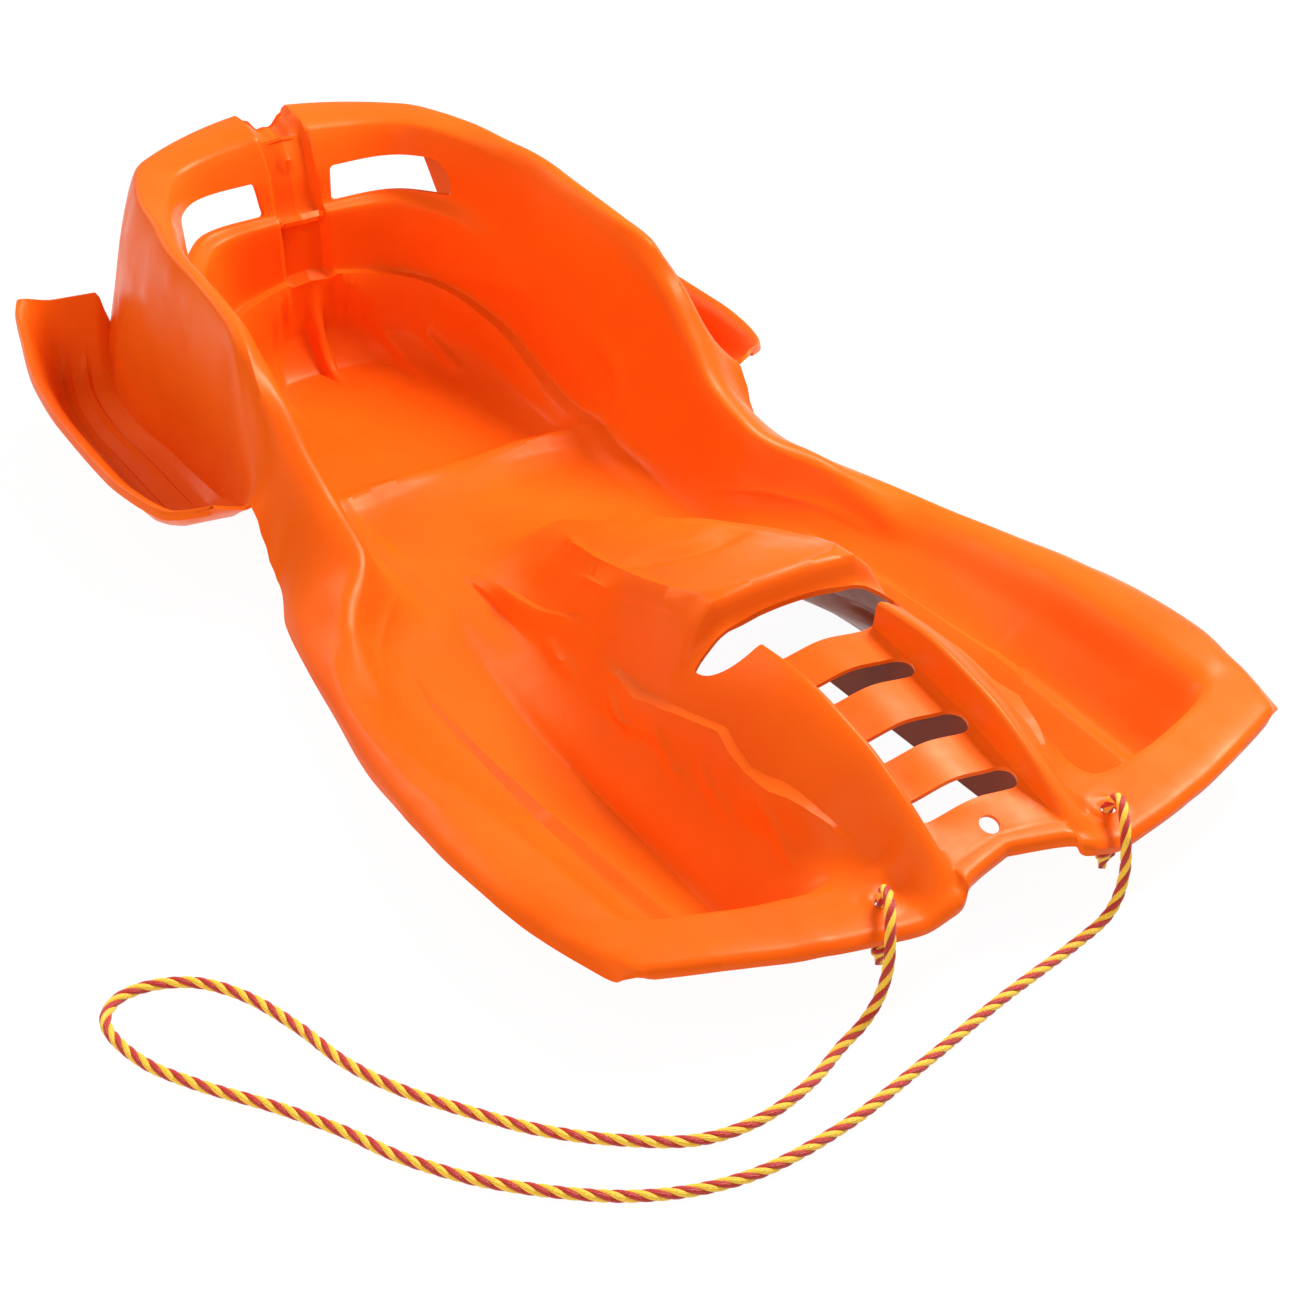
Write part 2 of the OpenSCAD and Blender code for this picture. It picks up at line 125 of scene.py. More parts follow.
class NodeMaterial:
    """A material whose nodes are added one by one."""

    def __init__(self, name: str) -> None:
        """Start a node material with its shader.

        Args:
            name: Name of the material.
        """
        self.material = bpy.data.materials.new(name)
        self.material.use_nodes = True
        self.tree = self.material.node_tree
        self.shader = self.tree.nodes["Principled BSDF"]

    def add(self, kind: str, **settings: object) -> bpy.types.Node:
        """Add a node and set its plain properties.

        Args:
            kind: Blender's name of the node type.
            settings: Properties and their values.

        Returns:
            The new node.
        """
        node = self.tree.nodes.new(kind)
        for key, value in settings.items():
            setattr(node, key, value)
        return node

    def link(self, source: bpy.types.NodeSocket, target: bpy.types.NodeSocket) -> None:
        """Join two sockets."""
        self.tree.links.new(source, target)

    def noise(self, coords: bpy.types.NodeSocket, scale: float, detail: float) -> bpy.types.Node:
        """Add a noise texture on the given coordinates.

        Args:
            coords: Coordinates to read.
            scale: Fineness of the noise.
            detail: Number of finer layers.

        Returns:
            The new node.
        """
        node = self.add("ShaderNodeTexNoise")
        node.inputs["Scale"].default_value = scale
        node.inputs["Detail"].default_value = detail
        self.link(coords, node.inputs["Vector"])
        return node

    def ramp(self, source: bpy.types.NodeSocket, stops: list) -> bpy.types.Node:
        """Add a colour ramp with stops of (place, colour).

        Args:
            source: Value that picks the colour.
            stops: Stops as (place, colour), in rising order.

        Returns:
            The new node.
        """
        node = self.add("ShaderNodeValToRGB")
        elements = node.color_ramp.elements
        while len(elements) < len(stops):
            elements.new(0.5)
        for element, (place, colour) in zip(elements, stops):
            element.position = place
            element.color = (*colour, 1.0)
        self.link(source, node.inputs["Fac"])
        return node

    def bump(self, height: bpy.types.NodeSocket, strength: float, depth: float,
             below: bpy.types.NodeSocket | None = None) -> bpy.types.NodeSocket:
        """Add a bump of the given depth in metres, on top of another one if given.

        Args:
            height: Height to read.
            strength: Share of the bump that shows.
            depth: Full height, in metres.
            below: Normals of a bump under this one.

        Returns:
            The bumped normals.
        """
        node = self.add("ShaderNodeBump")
        node.inputs["Strength"].default_value = strength
        node.inputs["Distance"].default_value = depth
        self.link(height, node.inputs["Height"])
        if below is not None:
            self.link(below, node.inputs["Normal"])
        return node.outputs["Normal"]


@dataclass(frozen=True)
class MouldedPlastic:
    """Semi-gloss dyed polyethylene with a faint moulding grain and scuffs."""

    name: str = "orange_polyethylene"
    deep: tuple = (0.80, 0.098, 0.004)
    base: tuple = (0.84, 0.116, 0.005)
    light: tuple = (0.88, 0.134, 0.006)
    cloud_scale: float = 5.0
    grain_scale: float = 900.0
    scuff_scale: float = 46.0

    def build(self) -> bpy.types.Material:
        """Make the material.

        Returns:
            The plastic.
        """
        nodes = NodeMaterial(self.name)
        coords = nodes.add("ShaderNodeTexCoord").outputs["Object"]
        clouds = nodes.noise(coords, self.cloud_scale, 3.0)
        stops = [(0.30, self.deep), (0.52, self.base), (0.75, self.light)]
        colour = nodes.ramp(clouds.outputs["Fac"], stops)
        nodes.link(colour.outputs["Color"], nodes.shader.inputs["Base Color"])
        scuffs = nodes.noise(coords, self.scuff_scale, 6.0)
        gloss = nodes.add("ShaderNodeMapRange")
        gloss.inputs["From Min"].default_value = 0.35
        gloss.inputs["From Max"].default_value = 0.70
        gloss.inputs["To Min"].default_value = 0.30
        gloss.inputs["To Max"].default_value = 0.42
        nodes.link(scuffs.outputs["Fac"], gloss.inputs["Value"])
        nodes.link(gloss.outputs["Result"], nodes.shader.inputs["Roughness"])
        waves = nodes.noise(coords, 22.0, 2.0)
        grain = nodes.noise(coords, self.grain_scale, 2.0)
        soft = nodes.bump(waves.outputs["Fac"], 0.25, 0.0012)
        fine = nodes.bump(grain.outputs["Fac"], 0.12, 0.00012, soft)
        nodes.link(fine, nodes.shader.inputs["Normal"])
        nodes.shader.inputs["IOR"].default_value = 1.51
        nodes.shader.inputs["Specular IOR Level"].default_value = 0.14
        nodes.shader.inputs["Specular Tint"].default_value = (1.0, 0.70, 0.40, 1.0)
        nodes.shader.inputs["Subsurface Weight"].default_value = 0.06
        nodes.shader.inputs["Subsurface Radius"].default_value = (0.006, 0.002, 0.001)
        nodes.shader.inputs["Subsurface Scale"].default_value = 1.0
        return nodes.material


# The same plastic, darkened where daylight hardly reaches under the bridge.
SHADED_PLASTIC = MouldedPlastic("shaded_polyethylene", (0.15, 0.016, 0.002), (0.18, 0.020, 0.002),
                                (0.21, 0.025, 0.003))


@dataclass(frozen=True)
class RopeFibre:
    """Twisted polypropylene yarn; its filaments follow the strand's own map."""

    name: str
    dark: tuple
    light: tuple
    filaments: float = 9.0
    turns: float = 240.0

    def build(self) -> bpy.types.Material:
        """Make the material.

        Returns:
            The yarn.
        """
        nodes = NodeMaterial(self.name)
        coords = nodes.add("ShaderNodeTexCoord")
        lay = nodes.add("ShaderNodeMapping")
        lay.inputs["Scale"].default_value = (self.turns, self.filaments, 1.0)
        nodes.link(coords.outputs["UV"], lay.inputs["Vector"])
        yarn = nodes.add("ShaderNodeTexWave", wave_type="BANDS", bands_direction="DIAGONAL")
        yarn.inputs["Scale"].default_value = 1.0
        yarn.inputs["Distortion"].default_value = 1.2
        yarn.inputs["Detail"].default_value = 2.0
        nodes.link(lay.outputs["Vector"], yarn.inputs["Vector"])
        fuzz = nodes.noise(coords.outputs["Object"], 700.0, 4.0)
        blend = nodes.add("ShaderNodeMath", operation="MULTIPLY_ADD")
        blend.inputs[1].default_value = 0.55
        nodes.link(yarn.outputs["Fac"], blend.inputs[0])
        half = nodes.add("ShaderNodeMath", operation="MULTIPLY")
        half.inputs[1].default_value = 0.45
        nodes.link(fuzz.outputs["Fac"], half.inputs[0])
        nodes.link(half.outputs["Value"], blend.inputs[2])
        colour = nodes.ramp(blend.outputs["Value"], [(0.12, self.dark), (0.62, self.light)])
        nodes.link(colour.outputs["Color"], nodes.shader.inputs["Base Color"])
        raised = nodes.bump(blend.outputs["Value"], 0.8, 0.0005)
        nodes.link(raised, nodes.shader.inputs["Normal"])
        nodes.shader.inputs["Roughness"].default_value = 0.48
        nodes.shader.inputs["Sheen Weight"].default_value = 0.15
        return nodes.material


# --- Studio --------------------------------------------------------------------------------


@dataclass
class Studio:
    """Camera, floor and soft lights."""

    azimuth: float = -32.7
    elevation: float = 32.4
    roll: float = -0.2
    place: tuple = (-0.972, -1.620, 1.130)
    lens: float = 73.9
    sensor: float = 36.0

    def camera(self) -> bpy.types.Object:
        """Add the camera and make it the scene's.

        Returns:
            The camera.
        """
        az, el, roll = radians(self.azimuth), radians(self.elevation), radians(self.roll)
        back = Vector((sin(az) * cos(el), -cos(az) * cos(el), sin(el)))
        right = Vector((cos(az), sin(az), 0.0))
        up = back.cross(right)
        turned = right * cos(roll) + up * sin(roll)
        raised = up * cos(roll) - right * sin(roll)
        data = bpy.data.cameras.new("camera")
        data.lens = self.lens
        data.sensor_width = self.sensor
        data.clip_end = 50.0
        camera = bpy.data.objects.new("camera", data)
        bpy.context.collection.objects.link(camera)
        axes = Matrix((turned, raised, back)).transposed()
        camera.matrix_world = Matrix.Translation(self.place) @ axes.to_4x4()
        bpy.context.scene.camera = camera
        return camera

    def floor(self) -> bpy.types.Object:
        """Add the plain pale floor.

        Returns:
            The floor.
        """
        deselect_all()
        bpy.ops.mesh.primitive_plane_add(size=30.0, location=(0.0, 0.0, -0.0006))
        floor = bpy.context.object
        floor.name = "floor"
        paint = NodeMaterial("pale_floor")
        paint.shader.inputs["Base Color"].default_value = (0.05, 0.05, 0.05, 1.0)
        paint.shader.inputs["Emission Color"].default_value = (1.0, 1.0, 1.0, 1.0)
        paint.shader.inputs["Emission Strength"].default_value = 0.96
        paint.shader.inputs["Roughness"].default_value = 0.9
        paint.shader.inputs["Specular IOR Level"].default_value = 0.1
        floor.data.materials.append(paint.material)
        return floor

    def lamp(self, name: str, place: tuple, size: float, power: float, colour: tuple) -> None:
        """Add one square soft box that faces the sled.

        Args:
            name: Name of the light.
            place: Where it stands, in metres.
            size: Length of its side, in metres.
            power: Power in watts.
            colour: Colour of its light.
        """
        data = bpy.data.lights.new(name, "AREA")
        data.size = size
        data.energy = power
        data.color = colour
        lamp = bpy.data.objects.new(name, data)
        lamp.location = place
        aim = Vector((0.0, 0.0, 0.05)) - Vector(place)
        lamp.rotation_euler = aim.to_track_quat("-Z", "Y").to_euler()
        bpy.context.collection.objects.link(lamp)

    def lights(self) -> None:
        """Add the soft boxes and the pale surroundings."""
        self.lamp("key_light", (2.0, 0.3, 2.7), 1.3, 175.0, (1.0, 0.96, 0.90))
        self.lamp("fill_light", (-2.6, -1.2, 1.9), 2.4, 46.0, (1.0, 0.93, 0.88))
        self.lamp("rim_light", (-0.6, 2.6, 1.8), 1.2, 16.0, (1.0, 0.97, 0.93))
        world = bpy.data.worlds.new("studio")
        world.use_nodes = True
        sky = world.node_tree.nodes["Background"]
        sky.inputs["Color"].default_value = (1.0, 0.95, 0.88, 1.0)
        sky.inputs["Strength"].default_value = 0.42
        bpy.context.scene.world = world
        bpy.context.scene.view_settings.view_transform = "Standard"


# --- Rope ----------------------------------------------------------------------------------


@dataclass
class TowRope:
    """The four-strand rope, laid along the same route as its CAD tube, and its two knots."""

    diameter: float = 0.008
    lay: float = 0.036
    strands: int = 4
    strand_sides: int = 9
    strand_width: float = 1.12
    ring_step: float = 0.0028
    knot_radius: float = 0.0095
    route: tuple = (
        (-97, -537, 28), (-97, -537, 58), (-100, -543, 71), (-108, -558, 73), (-118, -573, 62),
        (-124, -580, 42), (-132, -582, 22), (-146, -584, 8), (-166, -590, 4), (-205, -608, 4),
        (-250, -618, 4), (-292, -612, 4), (-332, -586, 4), (-368, -552, 4), (-399, -510, 4),
        (-424, -470, 4), (-440, -430, 4), (-449, -386, 4), (-463, -341, 4), (-484, -309, 4),
        (-512, -294, 4), (-538, -296, 4), (-553, -318, 4), (-547, -361, 4), (-526, -401, 4),
        (-495, -445, 4), (-470, -487, 4), (-448, -532, 4), (-410, -582, 4), (-350, -632, 4),
        (-285, -655, 4), (-210, -651, 4), (-130, -631, 4), (-50, -609, 4), (25, -592, 4),
        (60, -586, 12), (74, -582, 36), (80, -573, 62), (92, -553, 73), (97, -537, 58), (97, -537, 28))

    def curve(self, points: np.ndarray, steps: int) -> np.ndarray:
        """Smooth curve through points, steps samples to a stretch.

        Args:
            points: Points of the route.
            steps: Samples between two of them.

        Returns:
            The samples.
        """
        ends = np.concatenate([points[:1], points, points[-1:]])
        p0, p1, p2, p3 = ends[:-3], ends[1:-2], ends[2:-1], ends[3:]
        rows = []
        for t in np.arange(steps) / steps:
            rows.append(0.5 * (2 * p1 + (p2 - p0) * t + (2 * p0 - 5 * p1 + 4 * p2 - p3) * t * t
                               + (3 * p1 - p0 - 3 * p2 + p3) * t**3))
        return np.concatenate([np.stack(rows, axis=1).reshape(-1, 3), points[-1:]])

    def evenly(self, path: np.ndarray, step: float) -> np.ndarray:
        """Resample a path at an even step.

        Args:
            path: Points of the path.
            step: Distance to keep between samples.

        Returns:
            The samples.
        """
        lengths = np.concatenate([[0.0], np.cumsum(np.linalg.norm(np.diff(path, axis=0), axis=1))])
        count = max(int(round(lengths[-1] / step)), 2)
        at = np.linspace(0.0, lengths[-1], count + 1)
        return np.stack([np.interp(at, lengths, path[:, k]) for k in range(3)], axis=1)

    def frames(self, path: np.ndarray) -> tuple:
        """Side and up vectors that travel along the path without twisting.

        Args:
            path: Points of the path.

        Returns:
            The side vectors and the up vectors.
        """
        ahead = np.gradient(path, axis=0)
        ahead /= np.linalg.norm(ahead, axis=1)[:, None]
        side = np.zeros_like(path)
        last = np.array([1.0, 0.0, 0.0])
        for i, way in enumerate(ahead):
            last = last - way * (last @ way)
            last = last / np.linalg.norm(last)
            side[i] = last
        return side, np.cross(ahead, side)

    def strand_mesh(self, name: str, path: np.ndarray, diameter: float, lay: float) -> bpy.types.Object:
        """Sweep the strands of a twisted rope along a path.

        Args:
            name: Name of the piece.
            path: Centre line, in metres.
            diameter: Rope diameter, in metres.
            lay: Length of one full turn of a strand.

        Returns:
            A closed mesh whose faces take material 0 and 1 by turns.
        """
        side, up = self.frames(path)
        walked = np.concatenate([[0.0], np.cumsum(np.linalg.norm(np.diff(path, axis=0), axis=1))])
        radius = diameter / 2
        fat = radius * 0.50
        sides, rings = self.strand_sides, len(path)
        points, faces, slots, maps = [], [], [], []
        for strand in range(self.strands):
            turn = 2 * np.pi * (walked / lay + strand / self.strands)
            out = np.cos(turn)[:, None] * side + np.sin(turn)[:, None] * up
            across = -np.sin(turn)[:, None] * side + np.cos(turn)[:, None] * up
            centre = path + out * (radius - fat)
            base = len(points) * rings
            for k in range(sides):
                a = 2 * np.pi * k / sides
                points.append(centre + fat * (cos(a) * out + sin(a) * across * self.strand_width))

            def corner(i: int, k: int) -> int:
                """Number of corner k of ring i."""
                return base + (k % sides) * rings + i

            for i in range(rings - 1):
                for k in range(sides):
                    faces.append([corner(i, k + 1), corner(i + 1, k + 1), corner(i + 1, k), corner(i, k)])
                    slots.append(strand % 2)
                    u0, u1 = walked[i], walked[i + 1]
                    v0, v1 = k / sides, (k + 1) / sides
                    maps.append([(u0, v1), (u1, v1), (u1, v0), (u0, v0)])
            for i, order in ((0, 1), (rings - 1, -1)):
                faces.append([corner(i, k) for k in range(sides)][::order])
                slots.append(strand % 2)
                maps.append([(walked[i], 0.5)] * sides)
        piece = mesh_object(name, np.concatenate(points), faces)
        piece.data.polygons.foreach_set("material_index", slots)
        layer = piece.data.uv_layers.new(name="lay")
        layer.data.foreach_set("uv", [c for face in maps for uv in face for c in uv])
        piece.data.shade_smooth()
        return piece

    def dress(self, piece: bpy.types.Object, yellow: bpy.types.Material, red: bpy.types.Material) -> None:
        """Give a rope piece its two yarns and body.

        Args:
            piece: Piece to dress.
            yellow: Yarn of material 0.
            red: Yarn of material 1.
        """
        piece.data.materials.append(yellow)
        piece.data.materials.append(red)
        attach(piece, "root")

    def knot(self, side: Side) -> bpy.types.Object:
        """Tie an overhand knot under one rope hole, with its short free end.

        Args:
            side: Side of the sled.

        Returns:
            The knot.
        """
        name = f"{side.name.lower()}_knot"
        low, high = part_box(name)
        x, y = (low[0] + high[0]) / 2, (low[1] + high[1]) / 2
        top, bottom = high[2], low[2]
        middle = top - 0.0075
        turns = np.linspace(0.0, 2 * np.pi, 60)
        reach = self.knot_radius - 0.0032
        loop = []
        for t in turns:
            wide = (0.62 + 0.38 * cos(3 * t)) * reach
            loop.append((x + wide * cos(2 * t), y + wide * sin(2 * t), middle + 0.0040 * sin(3 * t)))
        start = [(x, y, top + 0.0006), (x + 0.001, y, top - 0.0010)]
        end = [(x + 0.0015, y - 0.002, middle - 0.0055), (x, y, bottom + 0.005), (x, y, bottom + 0.0006)]
        path = self.evenly(self.curve(np.array(start + loop[2:-2] + end), 3), 0.0016)
        return self.strand_mesh(name + "_rope", path, 0.0062, 0.030)

    def build(self) -> None:
        yellow = RopeFibre("yellow_yarn", (0.80, 0.38, 0.008), (1.0, 0.66, 0.03)).build()
        red = RopeFibre("red_yarn", (0.26, 0.005, 0.002), (0.58, 0.016, 0.006)).build()
        for side in Side:
            knot = self.knot(side)
            self.dress(knot, yellow, red)
            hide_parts(f"{side.name.lower()}_knot")
            log.info("%s with %d faces", knot.name, len(knot.data.polygons))
        points = np.array(self.route, float) * MM
        path = self.evenly(self.curve(points, 12), self.ring_step)
        rope = self.strand_mesh("twisted_tow_rope", path, self.diameter, self.lay)
        self.dress(rope, yellow, red)
        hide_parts("tow_rope")


# --- Moulding ------------------------------------------------------------------------------


@dataclass(frozen=True)
class Line:
    """A line drawn into the right half of the sheet, in millimetres.

    Its points are (x, distance from the lip tip, height). A bead runs along them, or a groove where
    the height is negative, and it fades out at both ends.
    """

    points: tuple
    width: float
    height: float

    def on_sheet(self, at: np.ndarray, normal: np.ndarray) -> np.ndarray:
        """The line's own points, closer together and moved onto the sheet.

        Args:
            at: Points of the sheet.
            normal: Normals there.

        Returns:
            Points of the line.
        """
        corners = np.array(self.points, float)
        walked = np.concatenate([[0.0], np.cumsum(np.linalg.norm(np.diff(corners, axis=0), axis=1))])
        stops = np.linspace(0.0, walked[-1], max(int(walked[-1] / 9.0), 3))
        path = np.stack([np.interp(stops, walked, corners[:, k]) for k in range(3)], axis=1)
        for i, point in enumerate(path):
            nearest = int(np.argmin(((at - point) ** 2).sum(axis=1)))
            path[i] = point + normal[nearest] * ((at[nearest] - point) @ normal[nearest])
        for _ in range(4):
            path[1:-1] = (path[:-2] + 2.0 * path[1:-1] + path[2:]) / 4.0
        return path

    def lift(self, at: np.ndarray, normal: np.ndarray) -> np.ndarray:
        """Lift of the sheet at each point.

        Args:
            at: Points of the sheet.
            normal: Normals there.

        Returns:
            Height along the normal.
        """
        corners = self.on_sheet(at, normal)
        runs = np.diff(corners, axis=0)
        steps = np.maximum(np.linalg.norm(runs, axis=1), 0.01)
        walked = np.concatenate([[0.0], np.cumsum(steps)]) / steps.sum()
        near = np.full(len(at), 1e9)
        share = np.zeros(len(at))
        for i, (start, run) in enumerate(zip(corners[:-1], runs)):
            t = np.clip(((at - start) @ run) / (run @ run), 0.0, 1.0)
            away = at - start - t[:, None] * run
            gap = np.linalg.norm(away, axis=1)
            closer = gap < near
            near = np.where(closer, gap, near)
            share = np.where(closer, walked[i] + t * (walked[i + 1] - walked[i]), share)
        taper = smooth(np.minimum(share, 1.0 - share) * 4.0 + 0.06)
        return self.height * taper * np.exp(-((near / self.width) ** 2))


@dataclass(frozen=True)
class Ledge:
    """A crisp step in the right half of the sheet, which the mesh columns follow.

    Its path holds stations with the foot's distance from the centre line, the step's width and its
    height. Behind its top, the sheet sinks back to its own height over the fade.
    """

    low: int
    foot: int
    top: int
    high: int
    fade: float
    path: tuple

    def cross(self, u: float) -> tuple:
        """Places of the foot and the top, and the height, at a station.

        Args:
            u: Station.

        Returns:
            Distance of the foot and of the top from the centre line, and the height.
        """
        table = np.array(self.path, float)
        foot, width, height = (float(np.interp(u, table[:, 0], table[:, k])) for k in (1, 2, 3))
        return foot, foot + (width if self.top > self.foot else -width), height

    def follow(self, row: np.ndarray, fine: np.ndarray, u: float) -> np.ndarray:
        """Slide the columns of a row so that two of them lie on the step.

        Args:
            row: Points of the row.
            fine: The same row with more points.
            u: Station.

        Returns:
            Lift of each point of the row.
        """
        foot, top, height = self.cross(u)
        ends = (self.path[0][0], self.path[-1][0])
        hold = float(smooth(np.array((u - ends[0] + 70) / 70)) * smooth(np.array((ends[1] + 90 - u) / 90)))
        marks = sorted(((self.low, row[self.low, 0]), (self.foot, foot), (self.top, top),
                        (self.high, row[self.high, 0])))
        columns = np.arange(self.low, self.high + 1)
        wanted = np.interp(columns, [m[0] for m in marks], [m[1] for m in marks])
        own = row[columns, 0].copy()
        x = own + (wanted - own) * hold
        row[columns] = np.stack([np.interp(x, fine[:, 0], fine[:, k]) for k in range(3)], axis=1)
        share = np.clip((row[:, 0] - foot) / (top - foot), 0.0, 1.0)
        lift = height * share * (1.0 - smooth(np.abs(row[:, 0] - top) / self.fade))
        lift[:self.low] = 0.0
        lift[self.high + 1:] = 0.0
        return lift


@dataclass
class Cutters:
    """Tools that cut the openings of the sheet, in millimetres from the lip tip."""

    nose_y: float
    deck_slots: tuple = ((42, 62), (96, 119), (158, 180))
    slot_half_w: float = 45.0
    rail_end_y: float = 217.0
    eye_half_w: float = 88.0
    eye_start: float = 56.0
    eye_tip_y: float = 247.0
    hole_sides: int = 40
    hang_hole: tuple = (0.0, 21.9, 73.5)
    hang_tilt: float = 24.6
    hang_radius: float = 7.5
    rope_hole: tuple = (97.0, 11.0, 60.0)
    rope_radius: float = 5.5
    seat_y: float = 880.0
    back_angle: float = 58.5
    back_half_w: float = 55.5
    back_heights: tuple = (153.0, 184.0)
    back_reach: tuple = (120.0, 235.0)

    def rounded(self, box: tuple, radii: tuple) -> list:
        """Outline of a rectangle with its own radius at each corner.

        Args:
            box: Lowest and highest corner, as (x0, y0, x1, y1).
            radii: Radii from the low corner anticlockwise.

        Returns:
            Points of the outline, anticlockwise.
        """
        x0, y0, x1, y1 = box
        corners = ((x0, y0, 1, 1, 180), (x1, y0, -1, 1, 270), (x1, y1, -1, -1, 0), (x0, y1, 1, -1, 90))
        points = []
        for (x, y, to_x, to_y, start), radius in zip(corners, radii):
            for step in range(9):
                turn = radians(start + 90 * step / 8)
                points.append((x + radius * (to_x + cos(turn)), y + radius * (to_y + sin(turn))))
        return points

    def prism(self, name: str, outline: list, place: Matrix, depth: float) -> bpy.types.Object:
        """Extrude an outline along its own Z and put it in place.

        Args:
            name: Name of the tool.
            outline: Points (x, y), anticlockwise, in millimetres.
            place: Where the outline's own axes go, in millimetres.
            depth: Length of the extrusion.

        Returns:
            The tool.
        """
        tool = mesh_object(name, [(x, y, 0.0) for x, y in outline], [list(range(len(outline)))])
        deselect_all()
        tool.select_set(True)
        bpy.context.view_layer.objects.active = tool
        bpy.ops.object.mode_set(mode="EDIT")
        bpy.ops.mesh.select_all(action="SELECT")
        bpy.ops.mesh.extrude_region_move(TRANSFORM_OT_translate={"value": (0.0, 0.0, depth)})
        bpy.ops.mesh.select_all(action="SELECT")
        bpy.ops.mesh.normals_make_consistent(inside=False)
        bpy.ops.object.mode_set(mode="OBJECT")
        shift = Matrix.Translation((0.0, self.nose_y, 0.0))
        tool.data.transform(Matrix.Scale(MM, 4) @ shift @ place)
        return tool

    def eye(self) -> list:
        """Outline of the gap behind the rails, whose ends are pointed like an eye's corners.

        Returns:
            Points of the outline, anticlockwise.
        """
        reach = self.eye_half_w - self.eye_start
        rise = self.eye_tip_y - self.rail_end_y
        arc = [radians(90 * k / 12) for k in range(13)]
        front = [(self.eye_start + reach * sin(t), self.eye_tip_y - rise * cos(t) ** 0.9) for t in arc]
        rear = [(x, 256 - 8 * (x / self.eye_half_w) ** 2) for x in np.linspace(self.eye_half_w, 0, 14)[1:]]
        right = front + rear
        left = [(-x, y) for x, y in reversed(right[:-1])]
        return right + left

    def build(self) -> bpy.types.Object:
        """Make all the tools and join them.

        Returns:
            One object that holds every tool.
        """
        tools = []
        for near, far in self.deck_slots:
            radius = (far - near) / 2 - 0.5
            outline = self.rounded((-self.slot_half_w, near, self.slot_half_w, far), (radius,) * 4)
            tools.append(self.prism("slot_tool", outline, Matrix.Translation((0, 0, 55)), 100))
        tools.append(self.prism("eye_tool", self.eye(), Matrix.Translation((0, 0, 75)), 100))
        low, high = self.back_heights
        half, small, large = self.back_half_w, 4.0, 21.0
        length = self.back_reach[1] - self.back_reach[0]
        for side in Side:
            outer = side.value
            radii = (small, small, small, large) if outer > 0 else (small, small, large, small)
            outline = self.rounded((-half, low, half, high), radii)
            turn = Matrix.Rotation(radians(90 - outer * (90 - self.back_angle)), 4, "Z")
            seat = Matrix.Translation((0, self.seat_y, 0))
            out = Matrix.Translation((self.back_reach[0], 0, 0))
            tools.append(self.prism("back_tool", outline, seat @ turn @ out @ UPRIGHT, length))
        holes = [(self.hang_hole, self.hang_radius, self.hang_tilt)]
        for side in Side:
            holes.append(((side.value * self.rope_hole[0], *self.rope_hole[1:]), self.rope_radius, 0.0))
        for place, radius, tilt in holes:
            deselect_all()
            bpy.ops.mesh.primitive_cylinder_add(vertices=self.hole_sides, radius=radius, depth=40.0)
            tool = bpy.context.object
            where = Matrix.Translation((place[0], place[1] + self.nose_y, place[2]))
            tool.data.transform(Matrix.Scale(MM, 4) @ where @ Matrix.Rotation(radians(tilt), 4, "X"))
            tools.append(tool)
        deselect_all()
        for tool in tools:
            tool.select_set(True)
        bpy.context.view_layer.objects.active = tools[0]
        bpy.ops.object.join()
        return tools[0]


